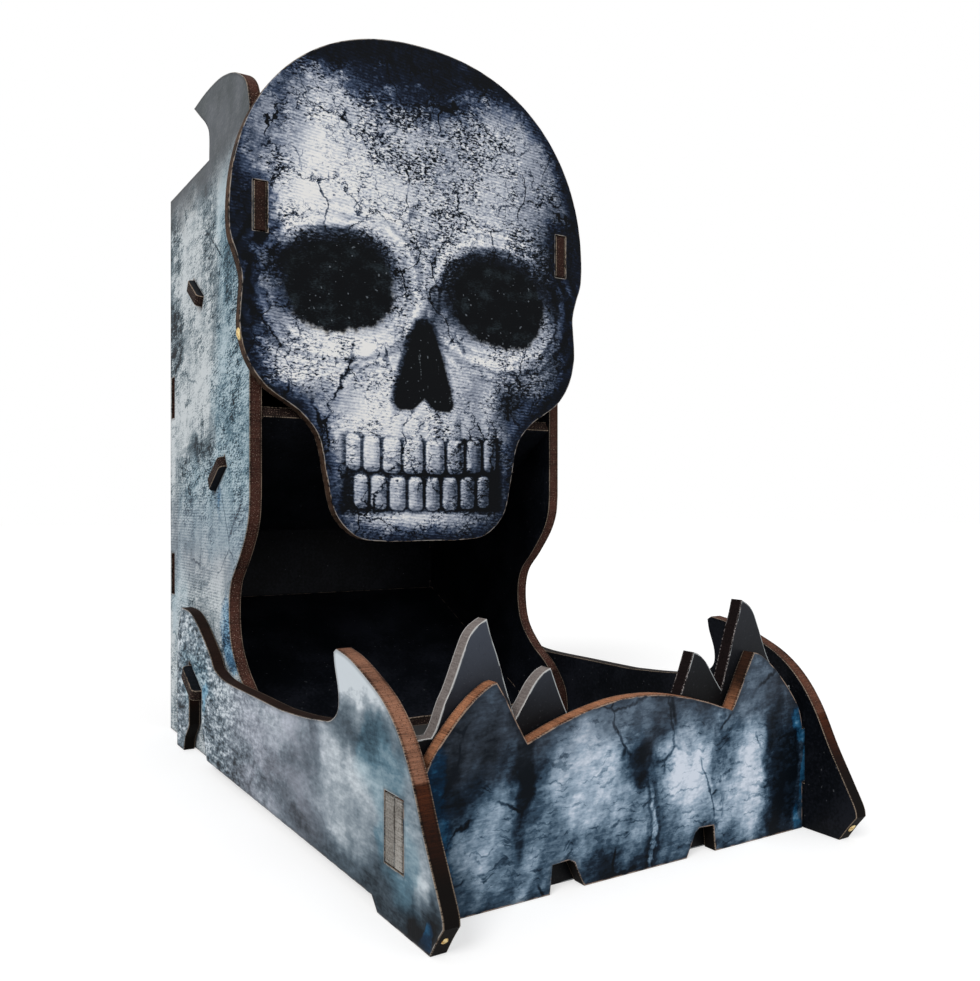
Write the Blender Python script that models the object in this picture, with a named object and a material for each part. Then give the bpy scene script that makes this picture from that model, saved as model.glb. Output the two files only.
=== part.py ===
"""A dice tower of slotted flat sheets, with a catch tray that hooks on and lifts off.

Two side panels carry a back panel and three sloping ramps, and a skull-shaped plate closes the front.
The tray is a low fence of four sheets: its side walls have open hooks that drop over the long tabs of
the lowest ramp, so the tray lifts straight up and off.

Metres, +Z up. The skull looks towards -Y. The origin is on the ground under the middle of the object.
Outlines of upright sheets are drawn as (back, up), measured from the skull plate's front face and the
ground, or as (right, up) where the sheet faces the front. Ramps are drawn as (right, up the slope).
"""

import math

import bmesh
import bpy
import numpy as np

# Every sheet
SHEET = 0.003
GAP = 0.0003
CUT_OVERRUN = 0.001
SAME_POINT = 1e-6
CURVE_STEPS = 5
ARC_STEPS = 28

# Tower, over its side panels
TOWER_WIDTH = 0.090
TOWER_DEPTH = 0.0785
SHOULDER_HEIGHT = 0.1595

# Side panel's fin, above the shoulder
FIN_LENGTH = 0.0489
FIN_RISE = 0.0191
FIN_FRONT_SHARES = ((0, 0.17), (0.05, 0.47), (0.18, 0.71), (0.45, 0.93), (0.76, 1), (1, 0.985))
FIN_BACK_SHARES = ((1, 0.985), (0.87, 0.755), (0.75, 0.54), (0.695, 0.37), (0.693, 0))

# Side panel's scalloped front foot, measured back from the panel's upright front edge
SCALLOP_DEPTH = 0.0162
SCALLOP_HEIGHT = 0.070
FOOT_SHARES = ((-0.30, 0), (-0.30, 0.13))
SCALLOP_SHARES = (
    (-0.30, 0.13), (-0.24, 0.22), (0.09, 0.315), (0.55, 0.386), (0.90, 0.475), (1, 0.60),
    (0.90, 0.687), (0.55, 0.766), (0.18, 0.863), (0.04, 0.93), (0, 1),
)

# Skull plate: a full dome, then temple, cheekbone and jaw, as shares of its half width and of its drop
PLATE_OVERHANG = 0.006
DOME_LEVEL = 0.1343
DOME_RISE = 0.0515
DOME_FULLNESS = 2.2
FACE_DROP = 0.076
TEMPLE_SHARES = (
    (1, 0), (0.992, 0.055), (0.962, 0.115), (0.938, 0.18), (0.945, 0.26), (0.948, 0.335),
    (0.91, 0.432), (0.829, 0.507), (0.745, 0.546),
)
JAW_SHARES = (
    (0.745, 0.546), (0.66, 0.583), (0.57, 0.655), (0.525, 0.79), (0.475, 0.915), (0.36, 0.985), (0.2, 1),
)
PLATE_TAB = 0.0113
PLATE_TAB_LEVEL = 0.1377

# Back panel
BACK_INSET = 0.0015
BACK_HEIGHT = 0.148
BACK_TAB = 0.0115
BACK_TAB_RECESS = 0.0008
BACK_TAB_LEVELS = (0.047, 0.0997)

# Ramps: place of the tabs' middle, slope, and how far the free end lies from it
RAMP_TAB = 0.0117
RAMP_TAB_PROUD = 0.0018
TAB_ROUND = 0.0013
UPPER_BACK = 0.0484
UPPER_LEVEL = 0.1260
UPPER_SLOPE = math.radians(33)
UPPER_FREE_RUN = 0.0245
MIDDLE_BACK = 0.0275
MIDDLE_LEVEL = 0.0756
MIDDLE_SLOPE = math.radians(-31.5)
MIDDLE_FREE_RUN = 0.0270
BOTTOM_BACK = 0.0382
BOTTOM_LEVEL = 0.0205
BOTTOM_SLOPE = math.radians(26.6)
BOTTOM_FREE_RUN = 0.0271
BOTTOM_TAB_PROUD = 0.0024

# Tray, measured from the skull plate's front face
TRAY_GAP = 0.0004
TRAY_REACH = 0.0961
TRAY_TAIL = 0.057
TRAY_RELIEF = 0.0022
REAR_FOOT = 0.007

# Tray side wall's rear spike, forward from the rear edge
REAR_SPIKE_LENGTH = 0.0366
REAR_SPIKE_HEIGHT = 0.0391
REAR_EDGE_SHARES = ((0, 0), (0, 0.62))
REAR_CORNER_SHARES = ((0, 0.62), (0.02, 0.80), (0.126, 1))
REAR_TOP_SHARES = ((0.126, 1), (0.355, 0.99), (0.50, 0.95), (0.73, 0.844), (0.918, 0.737), (0.955, 0.70))
CUSP_SHARES = ((0.955, 0.70), (1, 0.675))

# Tray side wall's rim and prow, back from the front tip
PROW_LENGTH = 0.0687
PROW_HEIGHT = 0.0416
RIM_SHARES = ((1.6, 0.604), (1.25, 0.602), (1, 0.606))
PROW_REAR_SHARES = (
    (1, 0.606), (0.83, 0.627), (0.70, 0.652), (0.614, 0.677), (0.566, 0.735), (0.562, 0.81),
    (0.588, 0.93), (0.594, 0.983),
)
PROW_TIP_SHARES = ((0.594, 0.983), (0.576, 1))
PROW_FRONT_SHARES = (
    (0.576, 1), (0.50, 0.98), (0.386, 0.92), (0.29, 0.85), (0.215, 0.755), (0.154, 0.625),
    (0.093, 0.43), (0.038, 0.272), (0.003, 0.165), (0, 0.132),
)
PROW_FOOT_SHARES = ((0, 0.132), (0.03, 0.07), (0.06, 0))
PROW_FOOT_END_SHARE = 0.326

# Hook that drops over the lowest ramp's tab: its mouth flares towards the ground
MOUTH_HEIGHT = 0.010
MOUTH_FLARE = 0.0052
FRONT_FLARE_SHARES = ((0, 1), (0.08, 0.86), (0.33, 0.69), (0.79, 0.35), (1, 0))
BACK_FLARE_SHARES = ((0, 0.80), (0.18, 0.68), (0.73, 0.40), (1, 0.10), (1.05, 0))

# Tray front wall and the taller spiked sheet behind it
FRONT_SETBACK = 0.0130
TRAY_TAB = 0.0112
TRAY_TAB_LEVEL = 0.0152
FRONT_HEIGHT = 0.0379
FRONT_CORNER_SHARES = (
    (1, 0.55), (0.99, 0.62), (0.965, 0.69), (0.85, 0.86), (0.765, 0.95), (0.705, 0.993), (0.681, 1),
)
FRONT_VALLEY_SHARES = ((0.681, 1), (0.643, 0.925), (0.592, 0.81), (0.544, 0.71))
FRONT_ARCH_SHARES = (
    (0.544, 0.71), (0.486, 0.736), (0.392, 0.775), (0.295, 0.806), (0.195, 0.832), (0.091, 0.849), (0, 0.853),
)
NOTCH_START = 0.01235
NOTCH_WIDTH = 0.0075
NOTCH_HEIGHT = 0.0052
NOTCH_SHARES = ((0, 0), (0.18, 0.52), (0.29, 0.865), (0.44, 1), (0.93, 0.97), (1, 0))
SPIKED_HEIGHT = 0.0482
SPIKED_LEDGE_SHARES = ((1, 0.608), (0.918, 0.608))
SPIKED_OUTER_SHARES = (
    (0.918, 0.608), (0.90, 0.634), (0.863, 0.72), (0.84, 0.76), (0.80, 0.85), (0.778, 0.90),
    (0.756, 0.944), (0.734, 0.969), (0.712, 0.984), (0.681, 1),
)
SPIKED_INNER_SHARES = ((0.681, 1), (0.663, 0.94), (0.634, 0.867), (0.596, 0.753), (0.552, 0.63))
SMALL_OUTER_SHARES = ((0.552, 0.63), (0.508, 0.687), (0.461, 0.751), (0.415, 0.789), (0.384, 0.801))
SMALL_INNER_SHARES = ((0.384, 0.801), (0.346, 0.712), (0.306, 0.63), (0.292, 0.608))
SPIKED_MIDDLE_SHARE = 0.608

# Worked out from the values above
FACE_Y = (TRAY_REACH - TOWER_DEPTH) / 2
PANEL_FRONT = SHEET + GAP
PLATE_HALF = TOWER_WIDTH / 2 + PLATE_OVERHANG
BACK_FRONT = TOWER_DEPTH - BACK_INSET - SHEET
INNER_HALF = TOWER_WIDTH / 2 - SHEET - GAP
TRAY_INNER = TOWER_WIDTH / 2 + TRAY_GAP
TRAY_OUTER = TRAY_INNER + SHEET
FRONT_HALF = TRAY_INNER - GAP
FRONT_BACK = FRONT_SETBACK - TRAY_REACH + SHEET
SPIKED_BACK = FRONT_BACK + GAP + SHEET
SIDEWAYS = (math.pi / 2, 0, math.pi / 2)
FACING = (math.pi / 2, 0, 0)

COLOURS = {
    "printed_side": ((0.33, 0.38, 0.41), 0.5),
    "printed_skull": ((0.62, 0.63, 0.66), 0.45),
    "printed_tray": ((0.30, 0.36, 0.42), 0.5),
    "grey_sheet": ((0.15, 0.155, 0.17), 0.45),
    "black_sheet": ((0.012, 0.012, 0.014), 0.6),
}


def clear_scene():
    for old in list(bpy.data.objects):
        bpy.data.objects.remove(old, do_unlink=True)


def sheet_material(name):
    """The painted face colour of one kind of sheet."""
    colour, roughness = COLOURS[name]
    material = bpy.data.materials.new(name)
    material.use_nodes = True
    shader = material.node_tree.nodes["Principled BSDF"]
    shader.inputs["Base Color"].default_value = (*colour, 1)
    shader.inputs["Roughness"].default_value = roughness
    shader.inputs["Metallic"].default_value = 0
    return material


def smooth(points):
    """A smooth curve through the points, ends included (centripetal Catmull-Rom)."""
    knots = [np.array(point, float) for point in points]
    if len(knots) == 2:
        return knots
    knots = [2 * knots[0] - knots[1]] + knots + [2 * knots[-1] - knots[-2]]
    curve = []
    for a, b, c, d in zip(knots, knots[1:], knots[2:], knots[3:]):
        ta = math.sqrt(np.linalg.norm(b - a))
        tb = ta + math.sqrt(np.linalg.norm(c - b))
        tc = tb + math.sqrt(np.linalg.norm(d - c))
        for t in np.linspace(ta, tb, CURVE_STEPS, endpoint=False):
            ab = ((ta - t) * a + t * b) / ta
            bc = ((tb - t) * b + (t - ta) * c) / (tb - ta)
            cd = ((tc - t) * c + (t - tb) * d) / (tc - tb)
            abc = ((tb - t) * ab + t * bc) / tb
            bcd = ((tc - t) * bc + (t - ta) * cd) / (tc - ta)
            curve.append(((tb - t) * abc + (t - ta) * bcd) / (tb - ta))
    curve.append(knots[-2])
    return curve


def scaled(shares, origin, size):
    """Points at the given shares of a size, counted from an origin."""
    return [(origin[0] + across * size[0], origin[1] + up * size[1]) for across, up in shares]


def joined(*stretches):
    """One closed outline from stretches that follow each other, without doubled points."""
    outline = []
    for point in (point for stretch in stretches for point in stretch):
        if not outline or math.dist(point, outline[-1]) > SAME_POINT:
            outline.append((float(point[0]), float(point[1])))
    if math.dist(outline[0], outline[-1]) <= SAME_POINT:
        outline.pop()
    return outline


def mirrored(half):
    """A whole outline from its right half, which runs up from the bottom middle to the top middle."""
    return joined(half, [(-across, up) for across, up in reversed(half)])


def rectangle(centre, length, width, angle=0.0):
    """Corners of a rectangle turned about its centre."""
    along = np.array((math.cos(angle), math.sin(angle))) * length / 2
    across = np.array((-math.sin(angle), math.cos(angle))) * width / 2
    corners = (-along - across, along - across, along + across, across - along)
    return [tuple(np.array(centre) + corner) for corner in corners]


def prism_mesh(name, outlines, low, high):
    """Flat outlines given a thickness, from local Z low to high, as closed bodies that face out."""
    mesh = bpy.data.meshes.new(name)
    work = bmesh.new()
    for outline in outlines:
        face = work.faces.new([work.verts.new((across, up, low)) for across, up in outline])
        raised = bmesh.ops.extrude_face_region(work, geom=[face])["geom"]
        moved = [item for item in raised if isinstance(item, bmesh.types.BMVert)]
        bmesh.ops.translate(work, verts=moved, vec=(0, 0, high - low))
    bmesh.ops.recalc_face_normals(work, faces=work.faces)
    work.to_mesh(mesh)
    work.free()
    return mesh


def placed(name, mesh, parent, location, turn):
    """An object with this mesh, set under its parent."""
    piece = bpy.data.objects.new(name, mesh)
    bpy.context.scene.collection.objects.link(piece)
    piece.parent = parent
    piece.location = location
    piece.rotation_euler = turn
    return piece


def group_empty(name, location):
    empty = bpy.data.objects.new(name, None)
    bpy.context.scene.collection.objects.link(empty)
    empty.location = location
    return empty


def sheet(name, outline, material, parent, location, turn, low=0.0):
    """A flat sheet cut to an outline."""
    mesh = prism_mesh(name, [outline], low, low + SHEET)
    mesh.materials.append(material)
    return placed(name, mesh, parent, location, turn)


def cutter(name, outlines, parent, location, turn, reach):
    """Wire prisms that cut slots, reaching the same distance to both sides of their place."""
    mesh = prism_mesh(name, outlines, -reach, reach)
    tool = placed(name, mesh, parent, location, turn)
    tool.hide_render = True
    tool.display_type = "WIRE"
    return tool


def cut(piece, tool):
    slots = piece.modifiers.new(tool.name, "BOOLEAN")
    slots.operation = "DIFFERENCE"
    slots.solver = "EXACT"
    slots.object = tool


def slot_size(length):
    """Length and width of the slot that a tab of this length passes through."""
    return length + 2 * GAP, SHEET + 2 * GAP


def side_panel_outline():
    """From the foot up the scalloped front, round the fin and down the straight back edge."""
    scallop = (PANEL_FRONT, 0), (SCALLOP_DEPTH, SCALLOP_HEIGHT)
    fin = (PANEL_FRONT, SHOULDER_HEIGHT), (FIN_LENGTH, FIN_RISE)
    tab_low = PLATE_TAB_LEVEL - PLATE_TAB / 2
    tab_high = PLATE_TAB_LEVEL + PLATE_TAB / 2
    plate_tab = [(PANEL_FRONT, tab_low), (0, tab_low), (0, tab_high), (PANEL_FRONT, tab_high)]
    back_edge = [(TOWER_DEPTH, SHOULDER_HEIGHT), (TOWER_DEPTH, 0)]
    return joined(
        scaled(FOOT_SHARES, *scallop),
        smooth(scaled(SCALLOP_SHARES, *scallop)),
        plate_tab,
        smooth(scaled(FIN_FRONT_SHARES, *fin)),
        smooth(scaled(FIN_BACK_SHARES, *fin)),
        back_edge,
    )


def skull_outline():
    """Jaw, cheekbone and temple, then the dome: a quarter of an oval that is a little fuller than round."""
    face = (0, DOME_LEVEL), (PLATE_HALF, -FACE_DROP)
    jaw = smooth(scaled(reversed(JAW_SHARES), *face))
    temple = smooth(scaled(reversed(TEMPLE_SHARES), *face))
    dome = []
    for angle in np.linspace(0, math.pi / 2, ARC_STEPS):
        across = abs(math.cos(angle)) ** (2 / DOME_FULLNESS)
        up = math.sin(angle) ** (2 / DOME_FULLNESS)
        dome.append((PLATE_HALF * across, DOME_LEVEL + DOME_RISE * up))
    return mirrored(joined(jaw, temple, dome))


def back_panel_outline():
    """A rectangle with two tabs on each side, which end inside the side panels' faces."""
    end = TOWER_WIDTH / 2 - BACK_TAB_RECESS
    half = [(INNER_HALF, 0)]
    for level in BACK_TAB_LEVELS:
        low = level - BACK_TAB / 2
        high = level + BACK_TAB / 2
        half += [(INNER_HALF, low), (end, low), (end, high), (INNER_HALF, high)]
    half.append((INNER_HALF, BACK_HEIGHT))
    return mirrored(half)


def ramp_outline(down_run, up_run, tab_end):
    """A rectangle with one tab on each side; the tab's ends have small rounded corners."""
    tab = RAMP_TAB / 2
    corner = []
    for angle in np.linspace(-math.pi / 2, 0, CURVE_STEPS):
        across = tab_end - TAB_ROUND + TAB_ROUND * math.cos(angle)
        corner.append((across, -tab + TAB_ROUND + TAB_ROUND * math.sin(angle)))
    upper_corner = [(across, -along) for across, along in reversed(corner)]
    half = [(INNER_HALF, -down_run), (INNER_HALF, -tab)] + corner + upper_corner
    half += [(INNER_HALF, tab), (INNER_HALF, up_run)]
    return mirrored(half)


def run_to_back_panel(back, slope):
    """How far a rising ramp runs from its tabs until its lower corner meets the back panel."""
    return (BACK_FRONT - GAP - back - SHEET / 2 * math.sin(slope)) / math.cos(slope)


def run_to_skull_plate(back, slope):
    """How far a ramp that rises to the front runs until its lower corner meets the skull plate."""
    return (back - PANEL_FRONT - SHEET / 2 * math.sin(-slope)) / math.cos(slope)


def hook_outline():
    """The open slot over the lowest ramp's tab: upright sides, slanted top, flared mouth."""
    half_run = (RAMP_TAB * math.cos(BOTTOM_SLOPE) + SHEET * math.sin(BOTTOM_SLOPE)) / 2 + GAP
    front = BOTTOM_BACK - half_run
    back = BOTTOM_BACK + half_run
    middle_top = BOTTOM_LEVEL + (SHEET / 2 + GAP) / math.cos(BOTTOM_SLOPE)
    rise = half_run * math.tan(BOTTOM_SLOPE)
    front_flare = smooth(scaled(FRONT_FLARE_SHARES, (front, 0), (-MOUTH_FLARE, MOUTH_HEIGHT)))
    back_flare = smooth(scaled(reversed(BACK_FLARE_SHARES), (back, 0), (MOUTH_FLARE, MOUTH_HEIGHT)))
    below = [(front_flare[-1][0], -CUT_OVERRUN), (back_flare[0][0], -CUT_OVERRUN)]
    top = [(back, middle_top + rise), (front, middle_top - rise)]
    return joined(front_flare, below, back_flare, top)


def tray_side_outline():
    """Prow with its foot, underside with a shallow relief, rear foot, rear spike and rim."""
    prow = (-TRAY_REACH, 0), (PROW_LENGTH, PROW_HEIGHT)
    rear = (TRAY_TAIL, 0), (-REAR_SPIKE_LENGTH, REAR_SPIKE_HEIGHT)
    foot_end = PROW_FOOT_END_SHARE * PROW_LENGTH - TRAY_REACH
    rear_foot = TRAY_TAIL - REAR_FOOT
    underside = [
        (foot_end, 0),
        (foot_end + TRAY_RELIEF, TRAY_RELIEF),
        (rear_foot - TRAY_RELIEF, TRAY_RELIEF),
        (rear_foot, 0),
    ]
    rim = [scaled(CUSP_SHARES, *rear)[-1]] + scaled(RIM_SHARES, *prow)
    return joined(
        smooth(scaled(PROW_FOOT_SHARES, *prow)),
        underside,
        scaled(REAR_EDGE_SHARES, *rear),
        smooth(scaled(REAR_CORNER_SHARES, *rear)),
        smooth(scaled(REAR_TOP_SHARES, *rear)),
        smooth(scaled(CUSP_SHARES, *rear)),
        smooth(rim),
        smooth(scaled(PROW_REAR_SHARES, *prow)),
        scaled(PROW_TIP_SHARES, *prow),
        smooth(scaled(PROW_FRONT_SHARES, *prow)),
    )


def tray_tab_points():
    """The tab at the side of both sheets that cross the tray's front."""
    low = TRAY_TAB_LEVEL - TRAY_TAB / 2
    high = TRAY_TAB_LEVEL + TRAY_TAB / 2
    return [(FRONT_HALF, 0), (FRONT_HALF, low), (TRAY_OUTER, low), (TRAY_OUTER, high), (FRONT_HALF, high)]


def front_wall_outline():
    """Two notches at the ground, a spike at each side and a low arch between them."""
    size = (0, 0), (FRONT_HALF, FRONT_HEIGHT)
    notch = scaled(NOTCH_SHARES, (NOTCH_START, 0), (NOTCH_WIDTH, NOTCH_HEIGHT))
    return mirrored(joined(
        notch,
        tray_tab_points(),
        smooth(scaled(FRONT_CORNER_SHARES, *size)),
        smooth(scaled(FRONT_VALLEY_SHARES, *size)),
        smooth(scaled(FRONT_ARCH_SHARES, *size)),
    ))


def spiked_sheet_outline():
    """A tall and a short spike at each side, level between them."""
    size = (0, 0), (FRONT_HALF, SPIKED_HEIGHT)
    return mirrored(joined(
        tray_tab_points(),
        scaled(SPIKED_LEDGE_SHARES, *size),
        smooth(scaled(SPIKED_OUTER_SHARES, *size)),
        smooth(scaled(SPIKED_INNER_SHARES, *size)),
        smooth(scaled(SMALL_OUTER_SHARES, *size)),
        smooth(scaled(SMALL_INNER_SHARES, *size)),
        [(0, SPIKED_MIDDLE_SHARE * SPIKED_HEIGHT)],
    ))


def build_side_panels(tower):
    """Two like panels, cut by one tool that passes through both."""
    material = sheet_material("printed_side")
    ramp_slot = slot_size(RAMP_TAB)
    slots = [
        rectangle((UPPER_BACK, UPPER_LEVEL), *ramp_slot, UPPER_SLOPE),
        rectangle((MIDDLE_BACK, MIDDLE_LEVEL), *ramp_slot, MIDDLE_SLOPE),
        rectangle((BOTTOM_BACK, BOTTOM_LEVEL), *ramp_slot, BOTTOM_SLOPE),
    ]
    for level in BACK_TAB_LEVELS:
        slots.append(rectangle((BACK_FRONT + SHEET / 2, level), *slot_size(BACK_TAB), math.pi / 2))
    tool = cutter("side_slots", slots, tower, (0, 0, 0), SIDEWAYS, TOWER_WIDTH / 2 + CUT_OVERRUN)
    outline = side_panel_outline()
    for name, place in (("left", -TOWER_WIDTH / 2), ("right", TOWER_WIDTH / 2 - SHEET)):
        cut(sheet("tower_side_" + name, outline, material, tower, (place, 0, 0), SIDEWAYS), tool)


def build_skull_plate(tower):
    """The skull plate and its two slots for the side panels' front tabs."""
    material = sheet_material("printed_skull")
    plate = sheet("skull_front", skull_outline(), material, tower, (0, SHEET, 0), FACING)
    middle = (TOWER_WIDTH - SHEET) / 2
    slots = []
    for side in (-middle, middle):
        slots.append(rectangle((side, PLATE_TAB_LEVEL), *slot_size(PLATE_TAB), math.pi / 2))
    cut(plate, cutter("skull_slots", slots, tower, (0, SHEET / 2, 0), FACING, SHEET / 2 + CUT_OVERRUN))


def build_back_and_ramps(tower):
    """The black sheets inside the tower."""
    black = sheet_material("black_sheet")
    sheet("back_panel", back_panel_outline(), black, tower, (0, BACK_FRONT + SHEET, 0), FACING)
    short_tab = TOWER_WIDTH / 2 + RAMP_TAB_PROUD
    long_tab = TRAY_OUTER + BOTTOM_TAB_PROUD
    upper_back_run = run_to_back_panel(UPPER_BACK, UPPER_SLOPE)
    middle_front_run = run_to_skull_plate(MIDDLE_BACK, MIDDLE_SLOPE)
    bottom_back_run = run_to_back_panel(BOTTOM_BACK, BOTTOM_SLOPE)
    upper = ramp_outline(UPPER_FREE_RUN, upper_back_run, short_tab)
    middle = ramp_outline(middle_front_run, MIDDLE_FREE_RUN, short_tab)
    bottom = ramp_outline(BOTTOM_FREE_RUN, bottom_back_run, long_tab)
    ramps = (
        ("upper_ramp", upper, UPPER_BACK, UPPER_LEVEL, UPPER_SLOPE),
        ("middle_ramp", middle, MIDDLE_BACK, MIDDLE_LEVEL, MIDDLE_SLOPE),
        ("bottom_ramp", bottom, BOTTOM_BACK, BOTTOM_LEVEL, BOTTOM_SLOPE),
    )
    for name, outline, back, level, slope in ramps:
        sheet(name, outline, black, tower, (0, back, level), (slope, 0, 0), -SHEET / 2)


def build_tray(tray):
    """Side walls with hooks and front slots, the front wall and the spiked sheet behind it."""
    material = sheet_material("printed_tray")
    stack = 2 * SHEET + GAP
    slot_middle = (SPIKED_BACK - stack / 2, TRAY_TAB_LEVEL)
    slots = [hook_outline(), rectangle(slot_middle, stack + 2 * GAP, TRAY_TAB + 2 * GAP)]
    tool = cutter("tray_slots", slots, tray, (0, 0, 0), SIDEWAYS, TRAY_OUTER + CUT_OVERRUN)
    outline = tray_side_outline()
    for name, place in (("left", -TRAY_OUTER), ("right", TRAY_INNER)):
        cut(sheet("tray_side_" + name, outline, material, tray, (place, 0, 0), SIDEWAYS), tool)
    sheet("tray_front_wall", front_wall_outline(), material, tray, (0, FRONT_BACK, 0), FACING)
    grey = sheet_material("grey_sheet")
    sheet("tray_spike_wall", spiked_sheet_outline(), grey, tray, (0, SPIKED_BACK, 0), FACING)


def build():
    clear_scene()
    tower = group_empty("tower", (0, FACE_Y, 0))
    tray = group_empty("tray", (0, FACE_Y, 0))
    build_side_panels(tower)
    build_skull_plate(tower)
    build_back_and_ramps(tower)
    build_tray(tray)


build()
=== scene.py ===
"""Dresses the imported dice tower: prints, burnt edges and black backs of its sheets, floor, light, camera."""

import math

import bmesh
import bpy
import numpy as np
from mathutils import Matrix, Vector
from mathutils.geometry import delaunay_2d_cdt


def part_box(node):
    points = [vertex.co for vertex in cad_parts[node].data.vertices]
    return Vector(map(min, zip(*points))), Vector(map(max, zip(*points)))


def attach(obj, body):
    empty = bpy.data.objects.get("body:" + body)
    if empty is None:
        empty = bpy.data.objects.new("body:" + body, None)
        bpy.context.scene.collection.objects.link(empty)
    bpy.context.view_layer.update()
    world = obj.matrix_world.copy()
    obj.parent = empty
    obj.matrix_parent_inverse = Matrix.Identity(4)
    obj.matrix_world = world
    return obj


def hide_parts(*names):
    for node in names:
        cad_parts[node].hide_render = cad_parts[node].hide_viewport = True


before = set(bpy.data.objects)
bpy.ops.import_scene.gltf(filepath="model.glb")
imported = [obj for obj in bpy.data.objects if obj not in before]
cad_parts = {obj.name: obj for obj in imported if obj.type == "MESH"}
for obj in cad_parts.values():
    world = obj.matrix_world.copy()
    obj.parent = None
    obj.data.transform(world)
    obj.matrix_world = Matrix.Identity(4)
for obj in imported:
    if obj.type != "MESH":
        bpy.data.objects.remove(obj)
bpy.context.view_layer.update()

MILLIMETRE = 0.001

# Sheet surface
CHAMFER = 0.00008
SMOOTH_TURN = math.radians(32)
SMOOTH_ROUNDS = 2
LONGEST_EDGE = 0.0015
RIM_RING = 0.00035
SECOND_RING = 0.0012
COARSE_GRID = 0.003
FINE_GRID = 0.0006
CDT_MERGE = 1e-5
FULL_HULL = 0

# Directions that the sheets' printed sides look
LEFT = (-1, 0, 0)
RIGHT = (1, 0, 0)
FRONT = (0, -1, 0)
BACK = (0, 1, 0)

# Camera, fitted to the photograph
PHOTO_WIDTH = 980
PHOTO_HEIGHT = 981
FOCAL_PIXELS = 952.66
PRINCIPAL_PIXEL = (489.77, 504.69)
CAMERA_AT = (-0.11648, -0.20862, 0.06767)
CAMERA_TURN = math.radians(-32.1)


# ---------- Sheets as fine meshes ----------


class Flat:
    """The plane of a sheet: across and up lie in it, out is the normal of its printed side."""

    def __init__(self, out):
        self.out = Vector(out).normalized()
        self.up = (Vector((0, 0, 1)) - self.out * self.out.z).normalized()
        self.across = self.up.cross(self.out)

    def flatten(self, point):
        return np.array((point.dot(self.across), point.dot(self.up)))

    def raised(self, points, height):
        basis = np.array((self.across, self.up, self.out))
        return np.column_stack((points, np.full(len(points), height))) @ basis


def face_outlines(node, flat):
    """Closed outlines of a CAD sheet's face that looks along flat.out, and the sheet's two heights."""
    work = bmesh.new()
    work.from_mesh(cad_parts[node].data)
    work.transform(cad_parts[node].matrix_world)
    bmesh.ops.remove_doubles(work, verts=work.verts, dist=1e-6)
    work.normal_update()
    faces = {face for face in work.faces if face.normal.dot(flat.out) > 0.999}
    following = {}
    for face in faces:
        for loop in face.loops:
            if sum(other in faces for other in loop.edge.link_faces) == 1:
                following[loop.vert.index] = loop.link_loop_next.vert.index
    work.verts.ensure_lookup_table()
    outlines = []
    while following:
        start, index = following.popitem()
        places = [start]
        while index != start:
            places.append(index)
            index = following.pop(index)
        outlines.append(np.array([flat.flatten(work.verts[place].co) for place in places]))
    heights = [vert.co.dot(flat.out) for vert in work.verts]
    work.free()
    return outlines, max(heights), min(heights)


def turns(outline):
    """The turning angle at each corner of a closed outline."""
    before = outline - np.roll(outline, 1, axis=0)
    after = np.roll(outline, -1, axis=0) - outline
    cross = before[:, 0] * after[:, 1] - before[:, 1] * after[:, 0]
    return np.abs(np.arctan2(cross, np.sum(before * after, axis=1)))


def without_straight(outline):
    """Leaves out points that lie on a straight stretch."""
    return outline[turns(outline) > 1e-3]


def rounded(outline):
    """Cuts the small corners of faceted curves finer and keeps the sharp ones."""
    for _ in range(SMOOTH_ROUNDS):
        points = []
        angle = turns(outline)
        for k, point in enumerate(outline):
            before = outline[k - 1] - point
            after = outline[(k + 1) % len(outline)] - point
            if angle[k] > SMOOTH_TURN:
                points.append(point)
                continue
            cut = min(np.linalg.norm(before), np.linalg.norm(after)) / 4
            points.append(point + before / np.linalg.norm(before) * cut)
            points.append(point + after / np.linalg.norm(after) * cut)
        outline = np.array(points)
    return outline


def divided(outline):
    """Adds points so that no edge is longer than LONGEST_EDGE."""
    points = []
    for a, b in zip(outline, np.roll(outline, -1, axis=0)):
        count = max(1, math.ceil(np.linalg.norm(b - a) / LONGEST_EDGE))
        points += [a + (b - a) * k / count for k in range(count)]
    return np.array(points)


def inward(outline):
    """At each point, the way into the material that offsets both neighbouring edges by one."""
    edge = np.roll(outline, -1, axis=0) - outline
    edge /= np.linalg.norm(edge, axis=1)[:, None]
    normal = np.column_stack((-edge[:, 1], edge[:, 0]))
    both = normal + np.roll(normal, 1, axis=0)
    return 2 * both / np.maximum(np.sum(both * both, axis=1), 0.4)[:, None]


def segments(outlines):
    for outline in outlines:
        yield from zip(outline, np.roll(outline, -1, axis=0))


def edge_distance(points, outlines):
    """Distance from each point to the nearest outline."""
    nearest = np.full(len(points), np.inf)
    for a, b in segments(outlines):
        step = b - a
        share = np.clip((points - a) @ step / (step @ step), 0, 1)
        gap = points - a - share[:, None] * step
        nearest = np.minimum(nearest, np.einsum("ij,ij->i", gap, gap))
    return np.sqrt(nearest)


def inside(points, outlines):
    """True for points that lie in the material, by the even-odd rule."""
    odd = np.zeros(len(points), bool)
    for a, b in segments(outlines):
        if a[1] != b[1]:
            crosses = (a[1] > points[:, 1]) != (b[1] > points[:, 1])
            where = a[0] + (points[:, 1] - a[1]) / (b[1] - a[1]) * (b[0] - a[0])
            odd ^= crosses & (points[:, 0] < where)
    return odd


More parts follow.
